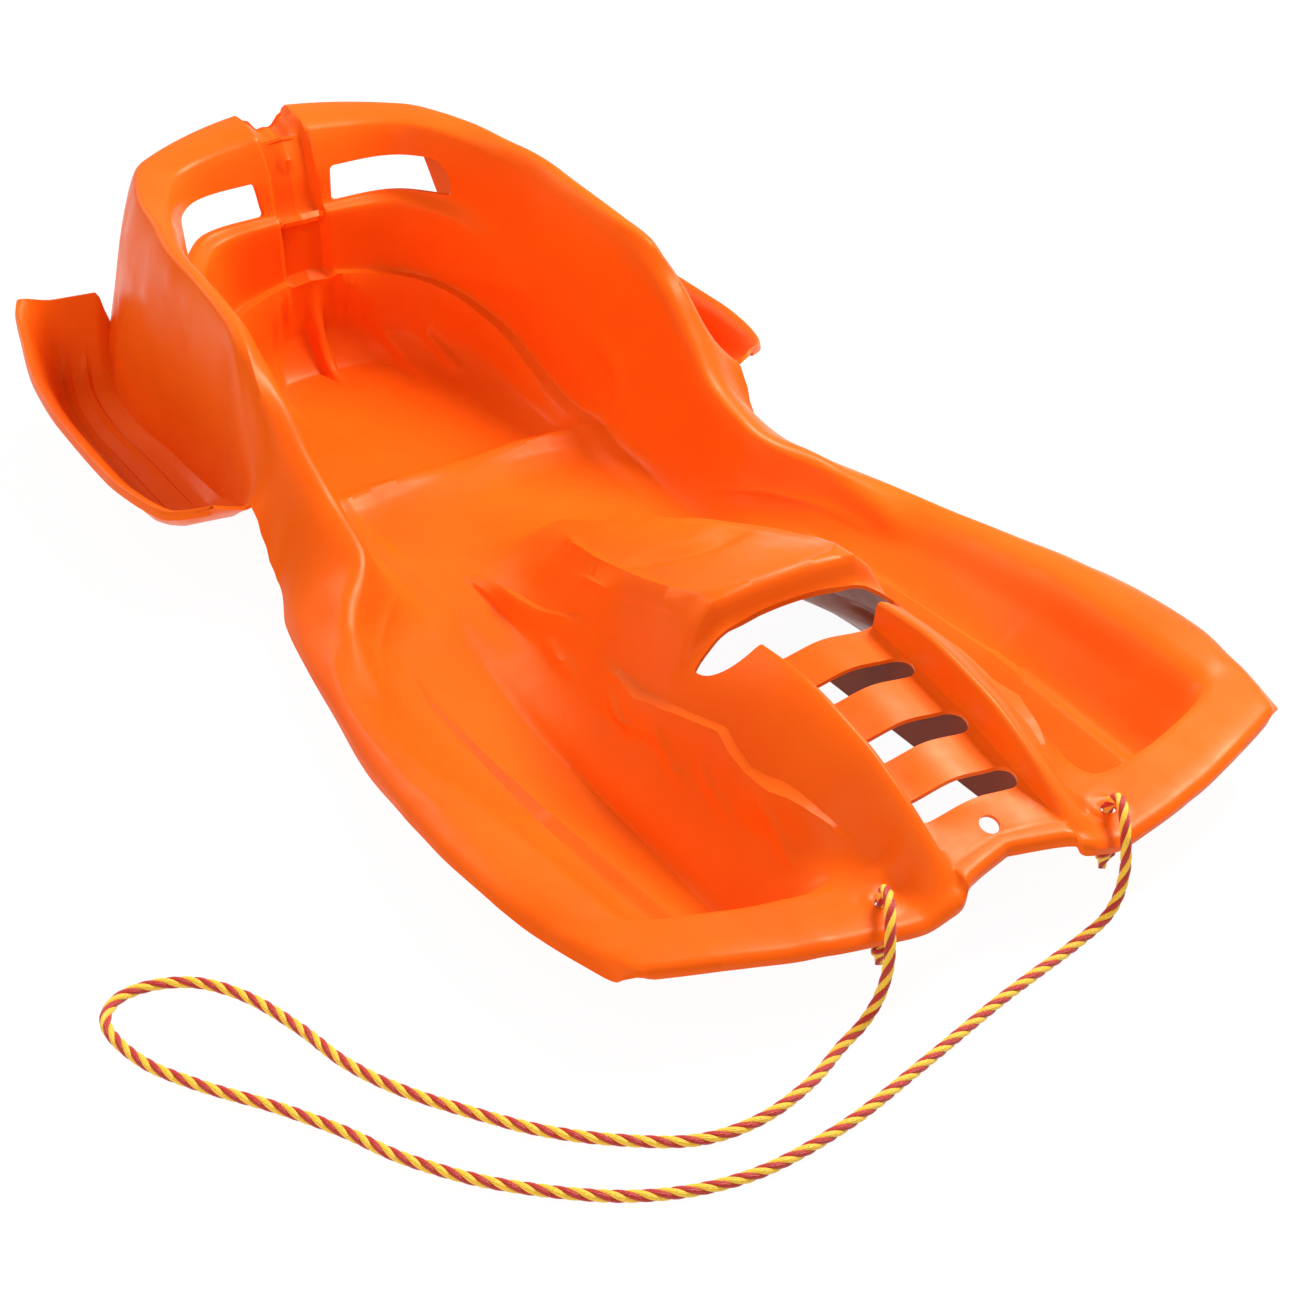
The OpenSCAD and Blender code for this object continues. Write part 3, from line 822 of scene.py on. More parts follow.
@dataclass
class Moulding:
    """The one-piece sheet: nose, troughs, bridge, seat, backrest and hand-hold wings."""

    wall: float = 3.0
    lip_front: float = -21.0
    seat_y: float = 880.0
    mm_per_deg: float = 3.0
    sole_half: float = 5.0
    wing_start: float = 665.0
    wing_end: float = 1019.5
    most_triangles: int = 184000

    # Half sections: station, then 16 points of (distance from the centre line, height).
    SECTIONS = (
        (-20, (0, 70), (41, 66), (46, 66), (50, 64), (57, 63), (84, 46), (116, 46), (146, 46),
         (163, 46), (205, 46), (228, 46), (243, 46), (252, 46), (262, 46), (276, 46), (286, 45)),
        (40, (0, 81), (41, 75), (46, 76), (50, 97), (57, 96), (84, 62), (116, 50), (146, 15),
         (163, 2.6), (205, 10), (230, 34), (250, 59), (262, 64), (278, 65), (294, 60), (301, 52)),
        (100, (0, 98), (41, 93), (46, 94), (50, 121), (57, 120), (84, 92), (116, 50), (146, 14),
         (163, 2.6), (205, 10), (232, 34), (254, 60), (266, 65), (284, 66), (304, 62), (310, 54)),
        (175, (0, 112), (41, 107), (46, 108), (50, 133), (57, 132), (86, 106), (118, 56), (148, 14),
         (160, 2.6), (207, 10), (236, 32), (258, 58), (270, 63), (288, 64), (307, 59), (312, 51)),
        (222, (0, 117), (41, 112), (46, 113), (50, 131), (57, 129), (88, 104), (119, 56), (148, 14),
         (158, 2.6), (207, 10), (238, 30), (261, 56), (272, 61), (289, 62), (306, 56), (310, 48)),
        (254, (0, 128), (28, 128), (42, 127), (56, 126), (68, 122), (90, 103), (120, 55), (148, 14),
         (157, 2.6), (207, 10), (238, 29), (262, 54), (272, 59), (288, 60), (304, 53), (308, 45)),
        (264, (0, 147), (28, 147), (46, 146), (63, 144), (77, 130), (93, 101), (120, 53), (147, 14),
         (156, 2.6), (207, 9), (238, 28), (262, 53), (272, 58), (288, 59), (304, 52), (307, 44)),
        (350, (0, 128), (24, 127), (42, 125), (60, 120), (76, 107), (94, 72), (116, 36), (141, 12),
         (155, 2.6), (207, 8), (238, 22), (262, 44), (272, 49), (284, 50), (296, 44), (299, 36)),
        (430, (0, 102), (18, 101), (34, 99), (50, 95), (64, 82), (82, 50), (104, 24), (131, 9),
         (149, 2.6), (199, 8), (228, 19), (252, 37), (262, 42), (272, 44), (281, 40), (284, 33)),
        (505, (0, 74), (10, 73), (20, 72), (32, 68), (46, 54), (66, 30), (90, 14), (119, 7),
         (138, 2.6), (182, 12), (205, 27), (226, 45), (234, 49), (247, 47), (265, 38), (270, 31)),
        (576, (0, 44), (8, 42), (16, 39), (26, 34), (40, 25), (62, 15), (84, 9), (108, 6),
         (124, 6), (152, 22), (168, 48), (178, 72), (185, 79), (206, 68), (245, 37), (253, 27)),
        (627, (0, 12), (12, 12), (24, 11), (36, 10), (50, 9), (68, 8), (88, 8), (108, 8),
         (124, 10), (148, 27), (164, 60), (175, 90), (183, 98), (202, 88), (228, 50), (235, 38)),
        (665, (0, 8), (12, 8), (24, 8), (36, 8), (50, 8), (68, 8), (88, 8), (108, 9),
         (128, 14), (150, 34), (166, 76), (178, 118), (186, 127), (201, 122), (222, 100), (236, 88)),
        (700, (0, 8), (12, 8), (24, 8), (36, 8), (50, 8), (68, 8), (90, 8), (110, 9),
         (130, 15), (151, 38), (166, 92), (178, 146), (186, 156), (200, 155), (216, 118), (230, 68)),
        (750, (0, 18), (12, 18), (24, 18), (36, 18), (50, 18), (70, 18), (92, 18), (114, 19),
         (134, 22), (152, 44), (164, 108), (174, 164), (181, 178), (191, 187), (201, 184), (218, 48)),
        (785, (0, 2.6), (12, 2.6), (24, 2.6), (36, 2.6), (52, 2.6), (72, 2.6), (95, 3.5), (116, 7),
         (136, 19), (151, 55), (162, 122), (169, 167), (175, 185), (184, 194), (194, 194), (214, 36)),
        (880, (0, 2.6), (12, 2.6), (24, 2.6), (36, 2.6), (54, 2.6), (76, 3.5), (100, 6), (122, 14),
         (138, 40), (150, 90), (160, 140), (165, 172), (170, 194), (179, 203), (189, 206), (212, 32)),
        (940, (0, 2.6), (12, 2.6), (24, 2.6), (36, 2.6), (54, 2.6), (78, 3.5), (104, 8), (126, 22),
         (140, 56), (152, 112), (162, 146), (167, 176), (172, 200), (182, 209), (192, 211), (228, 32)),
        (1000, (0, 2.6), (12, 2.6), (24, 2.6), (36, 2.6), (56, 2.6), (80, 3.5), (108, 9), (132, 27),
         (148, 71), (160, 136), (172, 150), (177, 180), (187, 207), (203, 212), (216, 214), (258, 34)),
        (1019, (0, 2.6), (12, 2.6), (24, 2.6), (36, 2.6), (56, 2.6), (80, 3.5), (109, 9), (134, 28),
         (151, 74), (163, 139), (175, 151), (183, 181), (193, 209), (211, 214), (226, 215), (266, 70)),
        (1050, (0, 2.6), (12, 2.6), (24, 2.6), (36, 2.6), (56, 2.6), (80, 3.5), (110, 9), (136, 29),
         (154, 78), (168, 144), (180, 152), (189, 183), (201, 211), (222, 216), (240, 217), (246, 202)),
        (1105, (0, 2.6), (12, 2.6), (24, 2.6), (36, 2.6), (56, 2.6), (80, 3.5), (110, 10), (134, 38),
         (148, 88), (156, 146), (166, 153), (174, 184), (190, 216), (214, 223), (236, 224), (240, 212)),
        (1150, (0, 2.6), (12, 2.6), (24, 2.6), (36, 2.6), (56, 2.6), (80, 3.5), (110, 11), (132, 44),
         (143, 94), (150, 146), (158, 153), (165, 184), (183, 221), (208, 228), (232, 230), (236, 218)))
    # Rows of the nose: station, share of the rim's height and drop below the rim.
    NOSE = ((-20, 1, 11), (-21, 1, 6), (-15, 1, 1), (0, 1, 0), (33, 1, 0),
            (37, 0.97, 0), (42, 0.82, 0), (51, 0.32, 0), (62, 0.06, 0), (74, 0.03, 0))
    # Wing rim: station, x, distance from the lip tip, height of the rim and height of the floor.
    WING = ((665, 262, 682, 88, 87), (682, 281, 698, 82, 76), (700, 291, 713, 79, 64),
            (750, 301, 757, 79, 40), (785, 304, 792, 79, 31), (880, 301, 900, 81, 31),
            (940, 293, 975, 85, 32), (1000, 273, 1058, 100, 36), (1010.5, 268, 1076, 108, 60),
            (1019.5, 263, 1086, 111, 104))
    WING_STEPS = ((0.12, 0), (0.24, 0), (0.28, 4.5), (0.33, 0), (0.47, 0), (0.52, 4.5), (0.58, 0))
    # Cells of the lip's front corner that are relaxed.
    CORNER_CELLS = 11
    # Painted shade on the underside of the bridge: half width, front and rear.
    BRIDGE_SHADE = (150.0, 200.0, 430.0)
    # Tight corners of a half section: number of the point and radius.
    CORNERS = {3: 2.5, 4: 3.0, 12: 3.0, 13: 3.0, 15: 4.0}
    WING_CORNERS = {8: 2.0}
    # Upper side of the sheet where its wall stands on the ground.
    GROUND_Z = 2.6
    # Mesh columns between neighbouring points of a half section, hull first and then the wing.
    HULL_SPLITS = (9, 1, 4, 1, 9, 15, 12, 3, 1, 11, 7, 6, 3, 3, 3, 9)
    WING_SPLITS = (4, 3, 2, 2, 3, 2, 2, 7, 2)

    # Long ledges of the leg walls, and the step along the floors of the troughs.
    LEDGES = (
        Ledge(24, 33, 34, 43, 22.0,
              ((52, 82, 1.6, 0), (70, 87, 2.0, 2), (89, 91, 2.6, 5), (110, 93, 3.8, 8), (124, 95, 5.2, 10.5),
               (140, 99, 3.4, 7.5), (153, 101, 2.6, 5.5), (172, 100, 2.8, 6), (192, 97, 2.6, 5.5),
               (228, 102, 2.4, 5), (252, 105, 3.0, 6), (284, 105, 3.8, 8), (300, 103, 3.2, 6.5),
               (330, 100, 2.0, 3), (362, 97, 1.6, 0), (392, 83, 1.6, 0), (420, 80, 2.2, 3),
               (455, 76, 3.0, 5.5), (495, 72, 3.8, 8.5), (525, 70, 5.2, 11), (545, 70, 3.6, 7.5),
               (570, 72, 2.2, 3.5), (598, 73, 1.6, 0))),
        Ledge(59, 70, 67, 77, 44.0,
              ((44, 201, 12, 0), (60, 201, 12, 5), (80, 202, 12, 8), (177, 206, 10, 7), (252, 208, 8, 6),
               (339, 205, 5.5, 4.5), (438, 200, 3, 2), (505, 190, 2, 0))),
    )

    LINES = (
        # Short ribs below the long ledges of the leg walls.
        Line(((96, 450, 31), (99, 427, 32), (105, 402, 33), (109, 372, 38)), 4.2, 2.8),
        Line(((110, 330, 56), (116, 306, 49), (120, 289, 47), (124, 262, 47)), 4.2, 2.8),
        Line(((113, 256, 64), (121, 232, 53), (124, 220, 49), (126, 200, 46)), 4.2, 2.8),
        Line(((112, 204, 66), (120, 179, 54), (122, 163, 49), (121, 140, 48)), 4.2, 2.8),
        Line(((107, 130, 70), (114, 112, 58), (118, 96, 52), (120, 76, 50)), 4.2, 2.8),
        # Fine line beside the pommel's edge, and the pommel's own edge.
        Line(((62, 470, 70), (71, 391, 95), (73, 308, 124), (66, 262, 134)), 3.2, 3.0),
        Line(((20, 540, 57), (41, 479, 75), (57, 407, 99), (65, 320, 127), (60, 272, 144)), 3.6, 4.4),
        Line(((66, 300, 140), (60, 272, 144), (30, 268, 146), (0, 267, 147), (-30, 268, 146)), 3.0, 2.2),
        # Shallow lens on the pommel's top.
        Line(((50, 396, 106), (28, 374, 117), (0, 356, 126), (-28, 374, 117)), 13.0, -6.0),
        # Front lip of the seat, which climbs the side walls.
        Line(((0, 748, 18), (60, 748, 18), (112, 742, 18), (124, 737, 20), (148, 725, 35), (155, 727, 57),
              (158, 738, 73), (159, 766, 85), (160, 800, 96)), 8.0, 5.0),
        # Broad shoulder inside the rim at the waist.
        Line(((206, 575, 70), (222, 540, 54), (232, 500, 45), (238, 455, 36), (240, 410, 28)), 13.0, 4.0),
        # Edge between the trough and the seat floor.
        Line(((146, 591, 21), (178, 544, 33), (214, 493, 29), (229, 440, 23)), 3.0, 1.6),
        # Ribs either side of the channel's foot.
        Line(((82, 1000, 52), (90, 976, 30), (96, 945, 16), (98, 915, 8)), 5.0, 4.5),
        # Soft shoulder of the seat back.
        Line(((40, 1014, 84), (83, 1008, 78), (129, 957, 83), (149, 894, 91), (152, 860, 96)), 7.0, 2.4),
        # Flutes of the outer wall.
        Line(((190, 990, 160), (194, 950, 140), (197, 925, 132), (199, 890, 124)), 5.0, 3.0),
        Line(((195, 1010, 110), (203, 950, 90), (207, 880, 70), (207, 840, 62)), 5.0, 3.0),
        Line(((189, 910, 200), (193, 872, 180), (196, 835, 160)), 5.0, 3.0),
        # Step at the wing's end wall.
        Line(((262, 1074, 92), (240, 1077, 90), (212, 1078, 86)), 3.0, 2.4),
    )

    def __post_init__(self) -> None:
        """Read the frame: the sheet's front edge sets where station 0 lies."""
        low, _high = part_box("sled_shell")
        self.nose_y = low[1] / MM - self.lip_front
        self.keys = np.array([s[0] for s in self.SECTIONS], float)
        self.table = np.array([s[1:] for s in self.SECTIONS], float)
        self.slopes = limited_slopes(self.keys[:, None, None] + 0 * self.table, self.table)
        self.wing_table = np.array(self.WING, float)
        self.wing_slopes = limited_slopes(self.wing_table[:, :1] + 0 * self.wing_table, self.wing_table)

    @staticmethod
    def between(keys: np.ndarray, table: np.ndarray, slopes: np.ndarray, u: float) -> np.ndarray:
        """Smooth value of a table at key u.

        Args:
            keys: Rising keys.
            table: Values at the keys.
            slopes: Slopes at the keys.
            u: Key to look up.

        Returns:
            The value.
        """
        i = int(np.clip(np.searchsorted(keys, u, side="right") - 1, 0, len(keys) - 2))
        h = keys[i + 1] - keys[i]
        return hermite(table[i], table[i + 1], slopes[i] * h, slopes[i + 1] * h, (u - keys[i]) / h)

    @staticmethod
    def rim_z(a: np.ndarray) -> np.ndarray:
        """Height of the front rim at a distance from the centre line."""
        return 55 + 8 * np.clip((a - 90) / 130, 0, 1)

    @staticmethod
    def rail_z(u: float) -> float:
        """Height of the rails, which arch down to the nose."""
        return 133 - 69 * ((190 - max(u, -10)) / 200) ** 2.2

    def nose_heights(self, u: float, share: float, drop: float, a: np.ndarray, z: np.ndarray) -> np.ndarray:
        """Heights of a half section that is closed off by the front rim.

        Args:
            u: Station.
            share: Share of the rim's height that the trough has here.
            drop: How far this row lies below the rim.
            a: Distances of the section's points.
            z: Heights of the section behind the nose.

        Returns:
            Heights of the 16 points.
        """
        rim = self.rim_z(a)
        out = z + (rim - z) * share - drop
        fall = min(max(u / 40, 0.1), 1)
        out[:3] = 70 + 0.29 * max(u, 0) - np.array([0, 5, 4]) * fall - drop
        out[3:5] = self.rail_z(u) - np.array([0, 1]) - drop * 1.2
        out[5] = max(rim[5] - 1, min(self.rail_z(u) - 28, z[5])) - drop
        out[14] = z[14] + (rim[14] - z[14]) * share / 2 - drop / 2
        out[15] = min(z[15] + (rim[15] - z[15]) * share / 2, rim[15] - 11)
        return out

    def half_row(self, u: float, share: float, drop: float) -> np.ndarray:
        """The 17 hull points of a row, the runner's sole taking two.

        Args:
            u: Station.
            share: Share of the front rim's height.
            drop: Drop below the front rim.

        Returns:
            Points (x, distance from the lip tip, height).
        """
        section = self.between(self.keys, self.table, self.slopes, u)
        a, z = section[:, 0].copy(), section[:, 1].copy()
        if u < 87:
            base = self.between(self.keys, self.table, self.slopes, max(u, 40.0))[:, 1]
            weight = float(smooth(np.array((u - 50) / 37)))
            nose = self.nose_heights(u, share, drop, a, base)
            z = nose + (base - nose) * weight
        a = np.insert(a, 9, a[8] + self.sole_half)
        a[8] -= self.sole_half
        z = np.insert(z, 9, z[8])
        if 628 < u < 668:
            a[16] += 2.5 * abs((u - 628) / 10 % 1 - 0.5) - 1.2
        turn = radians(max(u - self.seat_y, 0) / self.mm_per_deg)
        y = np.full(17, min(u, self.seat_y))
        y += 60 * (np.maximum(a - 60, 0) / 225) ** 1.8 * max(0, 1 - (u - self.lip_front) / 380)
        y += 22 * np.maximum(0, 1 - (a / 54) ** 2) * max(0, 1 - (u - self.lip_front) / 60)
        return np.stack([a * cos(turn), y + a * sin(turn), z], axis=1)

    def wing_row(self, u: float, root: np.ndarray) -> np.ndarray:
        """The wing points of a row, from the skirt outwards.

        Args:
            u: Station.
            root: Foot of the hull's skirt.

        Returns:
            Points of the wing.
        """
        _u, x, y, rim_z, floor_z = self.between(self.wing_table[:, 0], self.wing_table, self.wing_slopes, u)
        rim = np.array([x, y, rim_z])
        points = []
        for share, lift in self.WING_STEPS:
            across = root + (rim - root) * share
            points.append([across[0], across[1], min(floor_z + (lift if floor_z < 50 else 0), rim_z)])
        return np.array(points + [rim, rim + np.array([2, 0, -9])])

    def rows(self) -> list:
        """Stations of the mesh rows, with the front rim's share and drop.

        Returns:
            One (station, share, drop) for each row.
        """
        nose = np.array(self.NOSE, float)
        along = np.concatenate([[0.0], np.cumsum(np.hypot(np.diff(nose[:, 0]), np.diff(nose[:, 2])))])
        slopes = limited_slopes(along[:, None] + 0 * nose, nose)
        rows = []
        for i, length in enumerate(np.diff(along)):
            steps = max(int(round(length / 3.4)), 2)
            for t in np.arange(steps) / steps:
                out, into = slopes[i] * length, slopes[i + 1] * length
                rows.append(tuple(hermite(nose[i], nose[i + 1], out, into, t)))
        fan = self.seat_y + 90 * self.mm_per_deg
        spans = ((74, 256, 3.3), (256, 264, 2.0), (264, 500, 3.9), (500, self.wing_start, 5.5),
                 (self.wing_start, self.seat_y, 5.4), (self.seat_y, self.wing_end, 3.9),
                 (self.wing_end, fan - 48, 3.6), (fan - 48, fan, 2.4))
        for low, high, step in spans:
            count = int(round((high - low) / step))
            rows += [(low + (high - low) * k / count, 0.05 if low < 87 else 0.0, 0.0) for k in range(count)]
        return rows + [(fan, 0.0, 0.0)]

    def with_corners(self, chain: np.ndarray, splits: tuple, radii: dict, bend: int) -> tuple:
        """Give the tight corners of a chain a small radius.

        Args:
            chain: Points of the chain.
            splits: Steps in each gap.
            radii: Radius at each tight corner.
            bend: Steps round a corner.

        Returns:
            The new points and the steps in each of their gaps.
        """
        points, counts = [chain[0]], []
        for k in range(1, len(chain) - 1):
            radius = radii.get(k, 0.0)
            counts.append(splits[k - 1])
            if radius:
                back, ahead = chain[k - 1] - chain[k], chain[k + 1] - chain[k]
                back_size, ahead_size = max(np.linalg.norm(back), 0.01), max(np.linalg.norm(ahead), 0.01)
                points.append(chain[k] + back * min(radius / back_size, 0.4))
                points.append(chain[k] + ahead * min(radius / ahead_size, 0.4))
                counts.append(bend)
            else:
                points.append(chain[k])
        return np.array(points + [chain[-1]]), counts + [splits[len(chain) - 2]]

    def spread(self, chain: np.ndarray, splits: tuple, radii: dict, bend: int = 2) -> np.ndarray:
        """Smooth points through a chain, with the given number of steps in each gap and corner.

        Args:
            chain: Points of the chain.
            splits: Steps in each gap.
            radii: Radius at each tight corner.
            bend: Steps round a corner.

        Returns:
            The new points.
        """
        chain, splits = self.with_corners(chain, splits, radii, bend)
        gaps = np.maximum(np.linalg.norm(np.diff(chain, axis=0), axis=1), 0.01)
        walked = np.concatenate([[0.0], np.cumsum(gaps)])
        slopes = limited_slopes(walked[:, None] + 0 * chain, chain)
        slopes[0, 2] = 0.0
        out = []
        for i, count in enumerate(splits):
            for t in np.arange(count) / count:
                ahead, into = slopes[i] * gaps[i], slopes[i + 1] * gaps[i]
                out.append(hermite(chain[i], chain[i + 1], ahead, into, t))
        return np.array(out + [chain[-1]])

    def half_grid(self) -> tuple:
        """Lay out the right half of the sheet.

        Returns:
            Its grid of points, the lifts of its ledges, which rows have a wing, and the hull's columns.
        """
        grid, winged, lifts = [], [], []
        wing_count = sum(self.WING_SPLITS)
        for u, share, drop in self.rows():
            chain = self.half_row(u, share, drop)
            has_wing = self.wing_start - 0.01 <= u <= self.wing_end + 0.01
            fine = self.spread(chain, tuple(3 * n for n in self.HULL_SPLITS), self.CORNERS, 6)
            row = fine[::3].copy()
            hull_count = len(row) - 1
            lift = np.zeros(len(row) + wing_count)
            for ledge in self.LEDGES:
                if u < self.seat_y - 60:
                    lift[:len(row)] += ledge.follow(row, fine, u)
            lifts.append(lift)
            outer = np.repeat(row[-1:], wing_count, axis=0)
            if has_wing:
                cross = np.concatenate([chain[-1:], self.wing_row(u, chain[-1])])
                outer = self.spread(cross, self.WING_SPLITS, self.WING_CORNERS)[-wing_count:]
            grid.append(np.concatenate([row, outer]))
            winged.append(has_wing)
        log.info("half grid of %d rows and %d columns", len(grid), len(grid[0]))
        grid = np.array(grid)
        self.round_corner(grid[:self.CORNER_CELLS, hull_count - self.CORNER_CELLS:hull_count + 1])
        return grid, np.array(lifts), np.array(winged), hull_count

    @staticmethod
    def round_corner(block: np.ndarray) -> None:
        """Relax a block of the grid whose first row and last column are the sheet's own edges.

        Args:
            block: Points of the block, which are moved in place.
        """
        for _ in range(12):
            old = block.copy()
            block[1:-1, 1:-1] = (old[:-2, 1:-1] + old[2:, 1:-1] + old[1:-1, :-2] + old[1:-1, 2:]) / 4
            block[0, 1:-1] = (old[0, :-2] + old[0, 2:]) / 2
            block[1:-1, -1] = (old[:-2, -1] + old[2:, -1]) / 2
            block[0, -1] = (old[0, -2] + old[1, -1]) / 2

    @staticmethod
    def normals(grid: np.ndarray) -> np.ndarray:
        """Upward normals of the half grid, square to the centre plane where the halves meet.

        Args:
            grid: Points of the right half.

        Returns:
            Unit normals.
        """
        out = np.cross(np.gradient(grid, axis=1), np.gradient(grid, axis=0))
        out[:, 0, 0] = 0.0
        out[-1, :, 0] = 0.0
        size = np.linalg.norm(out, axis=2, keepdims=True)
        flat = size[..., 0] < 1e-6
        out = out / np.maximum(size, 1e-6)
        out[flat] = (0.0, 0.0, 1.0)
        return out

    def engrave(self, grid: np.ndarray, ledges: np.ndarray) -> np.ndarray:
        """Press the fine relief into the half grid.

        Args:
            grid: Points of the right half.
            ledges: Lifts of its ledges.

        Returns:
            The points with the ledges, lines, channel, pockets, tab, rope rings and notch.
        """
        flat, normal = grid.reshape(-1, 3), self.normals(grid)
        lift = ledges.ravel().copy()
        for line in self.LINES:
            lift += line.lift(flat, normal.reshape(-1, 3))
        x, y, z = flat.T
        # Channel down the backrest, which opens out into two pockets with a tongue between them.
        back = smooth((y - 893) / 90)
        half_w = 22 + 40 * smooth((96 - z) / 92)
        wall = 5 + 6 * smooth((110 - z) / 60)
        channel = smooth((half_w - x) / wall + 0.5) * smooth((236 - z) / 10)
        pockets = smooth((46 - z) / 5) * smooth((half_w - 6 - x) / 9) * smooth((x - 5) / 5)
        tongue = smooth((9 - x) / 7) * smooth((60 - z) / 16)
        lift += (6.0 * tongue - 8.0 * channel - 4.0 * pockets) * back
        # Small tab under the notch.
        lift += 4.0 * smooth((11 - x) / 5) * smooth((z - 186) / 5) * smooth((208 - z) / 5) * (y > 1040)
        # Raised ring round the rope hole.
        hole_x, hole_y = 97, 11
        ring = np.hypot(x - hole_x, y - hole_y)
        lift += 2.0 * np.exp(-(((ring - 9.5) / 2.6) ** 2)) * (z > 40)
        out = grid + normal * lift.reshape(grid.shape[:2])[..., None]
        # Notch in the backrest's rim, and no point is pressed through the ground.
        notch = 13 * smooth((20 - x) / 14) * smooth((y - 1062) / 12) * smooth((z - 195) / 12)
        lowest = np.minimum(grid[..., 2], self.GROUND_Z)
        out[..., 2] = np.maximum(out[..., 2] - notch.reshape(grid.shape[:2]), lowest)
        out[:, 0, 0] = 0.0
        out[-1, :, 0] = 0.0
        return out

    def sheet(self, grid: np.ndarray, absent: np.ndarray) -> bpy.types.Object:
        """Shape a plain grid to the given points and delete the cells that aren't there.

        Args:
            grid: Points of the whole sheet.
            absent: Cells to delete.

        Returns:
            The open sheet.
        """
        rows, columns = grid.shape[:2]
        deselect_all()
        bpy.ops.mesh.primitive_grid_add(x_subdivisions=columns - 1, y_subdivisions=rows - 1, size=2.0)
        shell = bpy.context.object
        shell.name = "moulded_shell"
        mesh = shell.data
        raw = np.empty(len(mesh.vertices) * 3)
        mesh.vertices.foreach_get("co", raw)
        raw = raw.reshape(-1, 3)
        ix = np.rint((raw[:, 0] + 1) / 2 * (columns - 1)).astype(int)
        iy = np.rint((raw[:, 1] + 1) / 2 * (rows - 1)).astype(int)
        place = grid[iy, ix] + np.array([0, self.nose_y, 0])
        mesh.vertices.foreach_set("co", (place * MM).ravel())
        corners = np.empty(len(mesh.polygons) * 4, int)
        mesh.polygons.foreach_get("vertices", corners)
        corners = corners.reshape(-1, 4)
        gone = absent[iy[corners].min(axis=1), ix[corners].min(axis=1)]
        mesh.update()
        bpy.ops.object.mode_set(mode="EDIT")
        bpy.ops.mesh.select_mode(type="FACE")
        bpy.ops.mesh.select_all(action="DESELECT")
        bpy.ops.object.mode_set(mode="OBJECT")
        mesh.polygons.foreach_set("select", gone)
        bpy.ops.object.mode_set(mode="EDIT")
        bpy.ops.mesh.delete(type="FACE")
        bpy.ops.mesh.select_all(action="SELECT")
        bpy.ops.mesh.remove_doubles(threshold=0.00005)
        bpy.ops.mesh.dissolve_degenerate(threshold=0.00005)
        bpy.ops.object.mode_set(mode="OBJECT")
        return shell

    def thicken(self, shell: bpy.types.Object) -> None:
        """Give the sheet its wall, thin out the underside's mesh and set the soles on the ground.

        Args:
            shell: The open sheet.
        """
        top = len(shell.data.vertices)
        wall = shell.modifiers.new("wall", "SOLIDIFY")
        wall.thickness = self.wall * MM
        wall.offset = -1.0
        # The whole underside takes the darkened plastic of painted shade at first; keep_bridge_dark keeps it
        # only under the bridge.
        wall.material_offset = 1
        wall.use_even_offset = False
        bpy.ops.object.modifier_apply(modifier="wall")
        mesh = shell.data
        under = shell.vertex_groups.new(name="underside")
        under.add(list(range(top, len(mesh.vertices))), 1.0, "REPLACE")
        triangles = sum(len(face.vertices) - 2 for face in mesh.polygons)
        thin = shell.modifiers.new("thin", "DECIMATE")
        thin.vertex_group = under.name
        thin.ratio = min(1.0, self.most_triangles / triangles)
        bpy.ops.object.modifier_apply(modifier="thin")
        mesh = shell.data
        flat = np.empty(len(mesh.vertices) * 3)
        mesh.vertices.foreach_get("co", flat)
        flat[2::3] = np.maximum(flat[2::3], 0.0)
        mesh.vertices.foreach_set("co", flat)
        mesh.update()
        log.info("wall of %d triangles thinned to %d faces", triangles, len(mesh.polygons))

    def keep_bridge_dark(self, shell: bpy.types.Object) -> None:
        """Leave the underside's painted shade only under the bridge.

        Args:
            shell: The shell with its wall.
        """
        mesh = shell.data
        slots = np.empty(len(mesh.polygons), int)
        mesh.polygons.foreach_get("material_index", slots)
        raw = np.empty(len(mesh.polygons) * 3)
        mesh.polygons.foreach_get("center", raw)
        x, y, _z = raw.reshape(-1, 3).T / MM
        half_w, front, rear = self.BRIDGE_SHADE
        near = (np.abs(x) < half_w) & (y > self.nose_y + front) & (y < self.nose_y + rear)
        mesh.polygons.foreach_set("material_index", np.where(near, slots, 0))

    def build(self, shaded: bpy.types.Material) -> bpy.types.Object:
        """Form the sheet, thicken it, cut its openings and dress it.

        Args:
            shaded: Darkened plastic that paints the shade under the bridge.

        Returns:
            The finished shell.
        """
        half, ledges, winged, hull_count = self.half_grid()
        half = self.engrave(half, ledges)
        absent = np.zeros((half.shape[0] - 1, half.shape[1] - 1), bool)
        absent[:, hull_count:] = ~(winged[:-1] & winged[1:])[:, None]
        left = half[:, :0:-1] * np.array([-1, 1, 1])
        grid = np.concatenate([left, half], axis=1)
        shell = self.sheet(grid, np.concatenate([absent[:, ::-1], absent], axis=1))
        shell.data.materials.append(MouldedPlastic().build())
        shell.data.materials.append(shaded)
        self.thicken(shell)
        self.keep_bridge_dark(shell)
        tools = Cutters(self.nose_y).build()
        deselect_all()
        shell.select_set(True)
        bpy.context.view_layer.objects.active = shell
        openings = shell.modifiers.new("openings", "BOOLEAN")
        openings.operation = "DIFFERENCE"
        openings.solver = "MANIFOLD"
        openings.object = tools
        bpy.ops.object.modifier_apply(modifier="openings")
        bpy.data.objects.remove(tools, do_unlink=True)
        bpy.ops.object.shade_smooth_by_angle(angle=radians(38.0))
        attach(shell, "root")
        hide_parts("sled_shell")
        triangles = sum(len(face.vertices) - 2 for face in shell.data.polygons)
        log.info("%s with %d triangles", shell.name, triangles)
        return shell


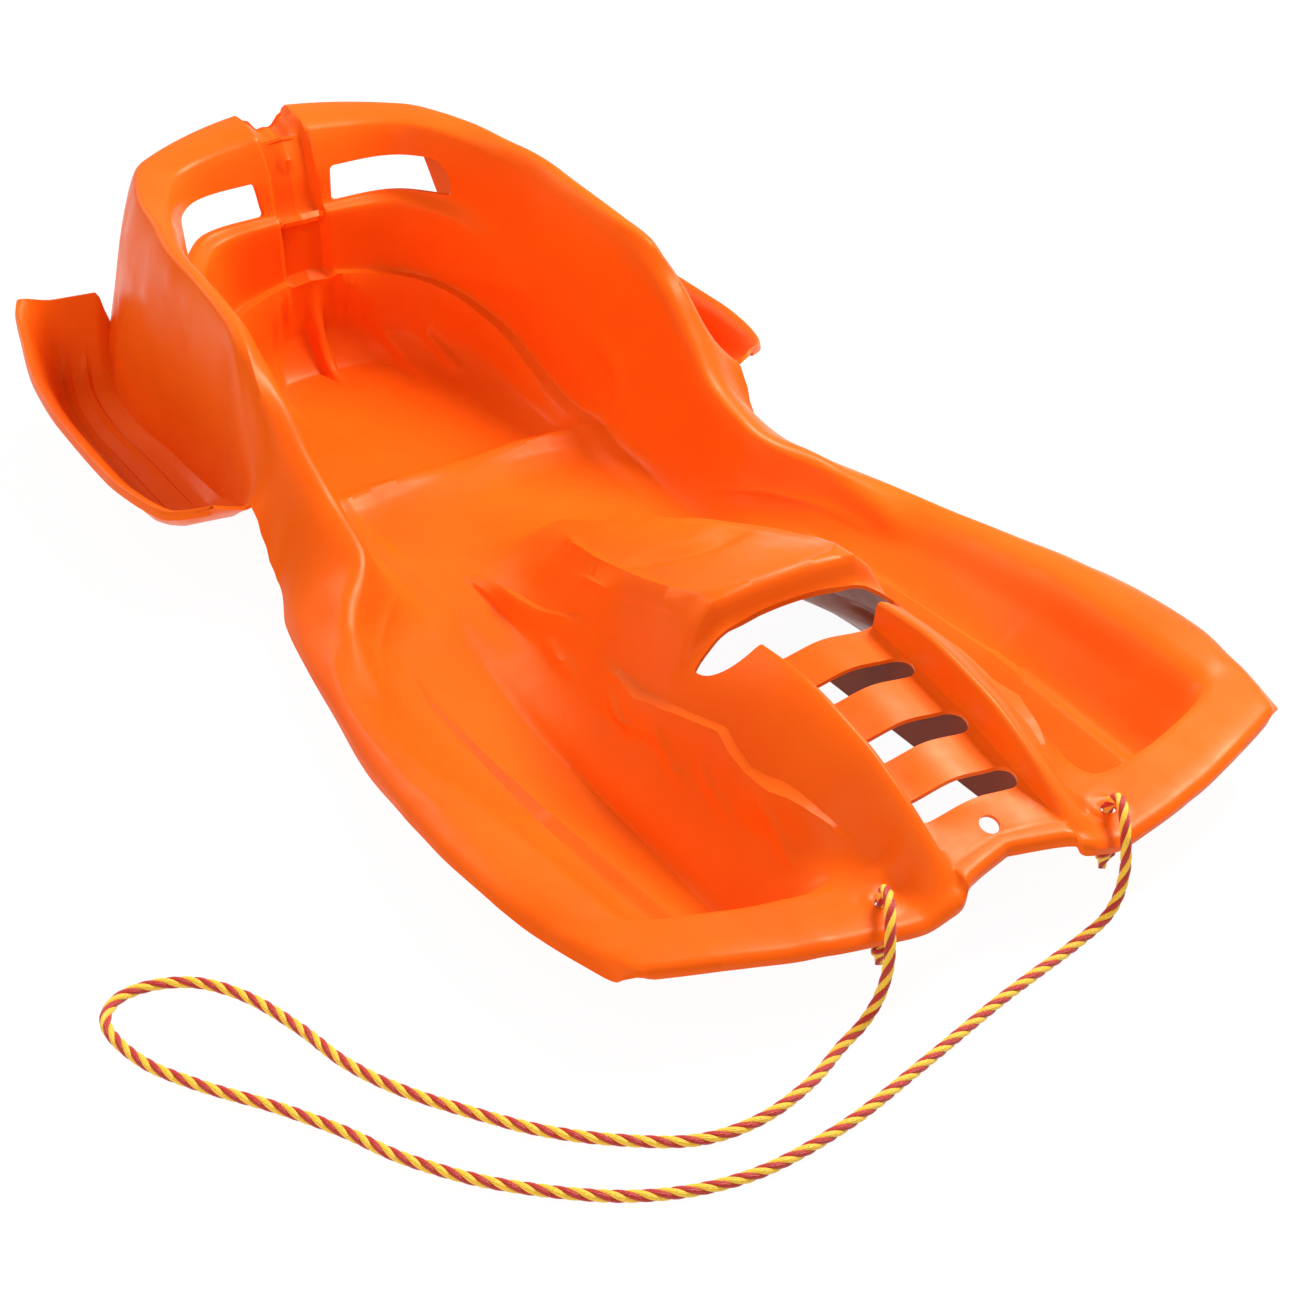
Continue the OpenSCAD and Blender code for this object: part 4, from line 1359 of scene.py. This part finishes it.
@dataclass
class BridgeWebs:
    """Two upright webs that hang from the slotted deck and stiffen it, in millimetres; their darkened
    plastic is painted shade.
    """

    nose_y: float
    inner_face: float = 46.5
    thickness: float = 3.0
    # Side outline: distance from the lip tip and height, the foot first and then the edge under the deck.
    outline: tuple = ((44, 62), (60, 38), (266, 38), (214, 109), (175, 106.5), (140, 99.5), (100, 92.5),
                      (60, 80.5), (44, 76))

    def build(self, plastic: bpy.types.Material) -> None:
        """Make both webs and dress them.

        Args:
            plastic: Darkened plastic that paints the shade under the deck.
        """
        for side in Side:
            start = self.inner_face if side is Side.RIGHT else -self.inner_face - self.thickness
            name = f"{side.name.lower()}_bridge_web"
            place = Matrix.Translation((start, 0, 0)) @ UPRIGHT
            web = Cutters(self.nose_y).prism(name, self.outline, place, self.thickness)
            web.data.materials.append(plastic)
            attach(web, "root")
            log.info("%s with %d faces", web.name, len(web.data.polygons))


def main() -> None:
    """Build the studio, the rope and the moulding in order."""
    logging.basicConfig(level=logging.INFO, format="%(name)s: %(message)s")
    studio = Studio()
    studio.camera()
    TowRope().build()
    # Darkened plastic that paints the shade under the bridge, on the shell's underside and on the webs.
    shaded = SHADED_PLASTIC.build()
    moulding = Moulding()
    moulding.build(shaded)
    BridgeWebs(moulding.nose_y).build(shaded)
    studio.floor()
    studio.lights()


if __name__ == "__main__":
    main()
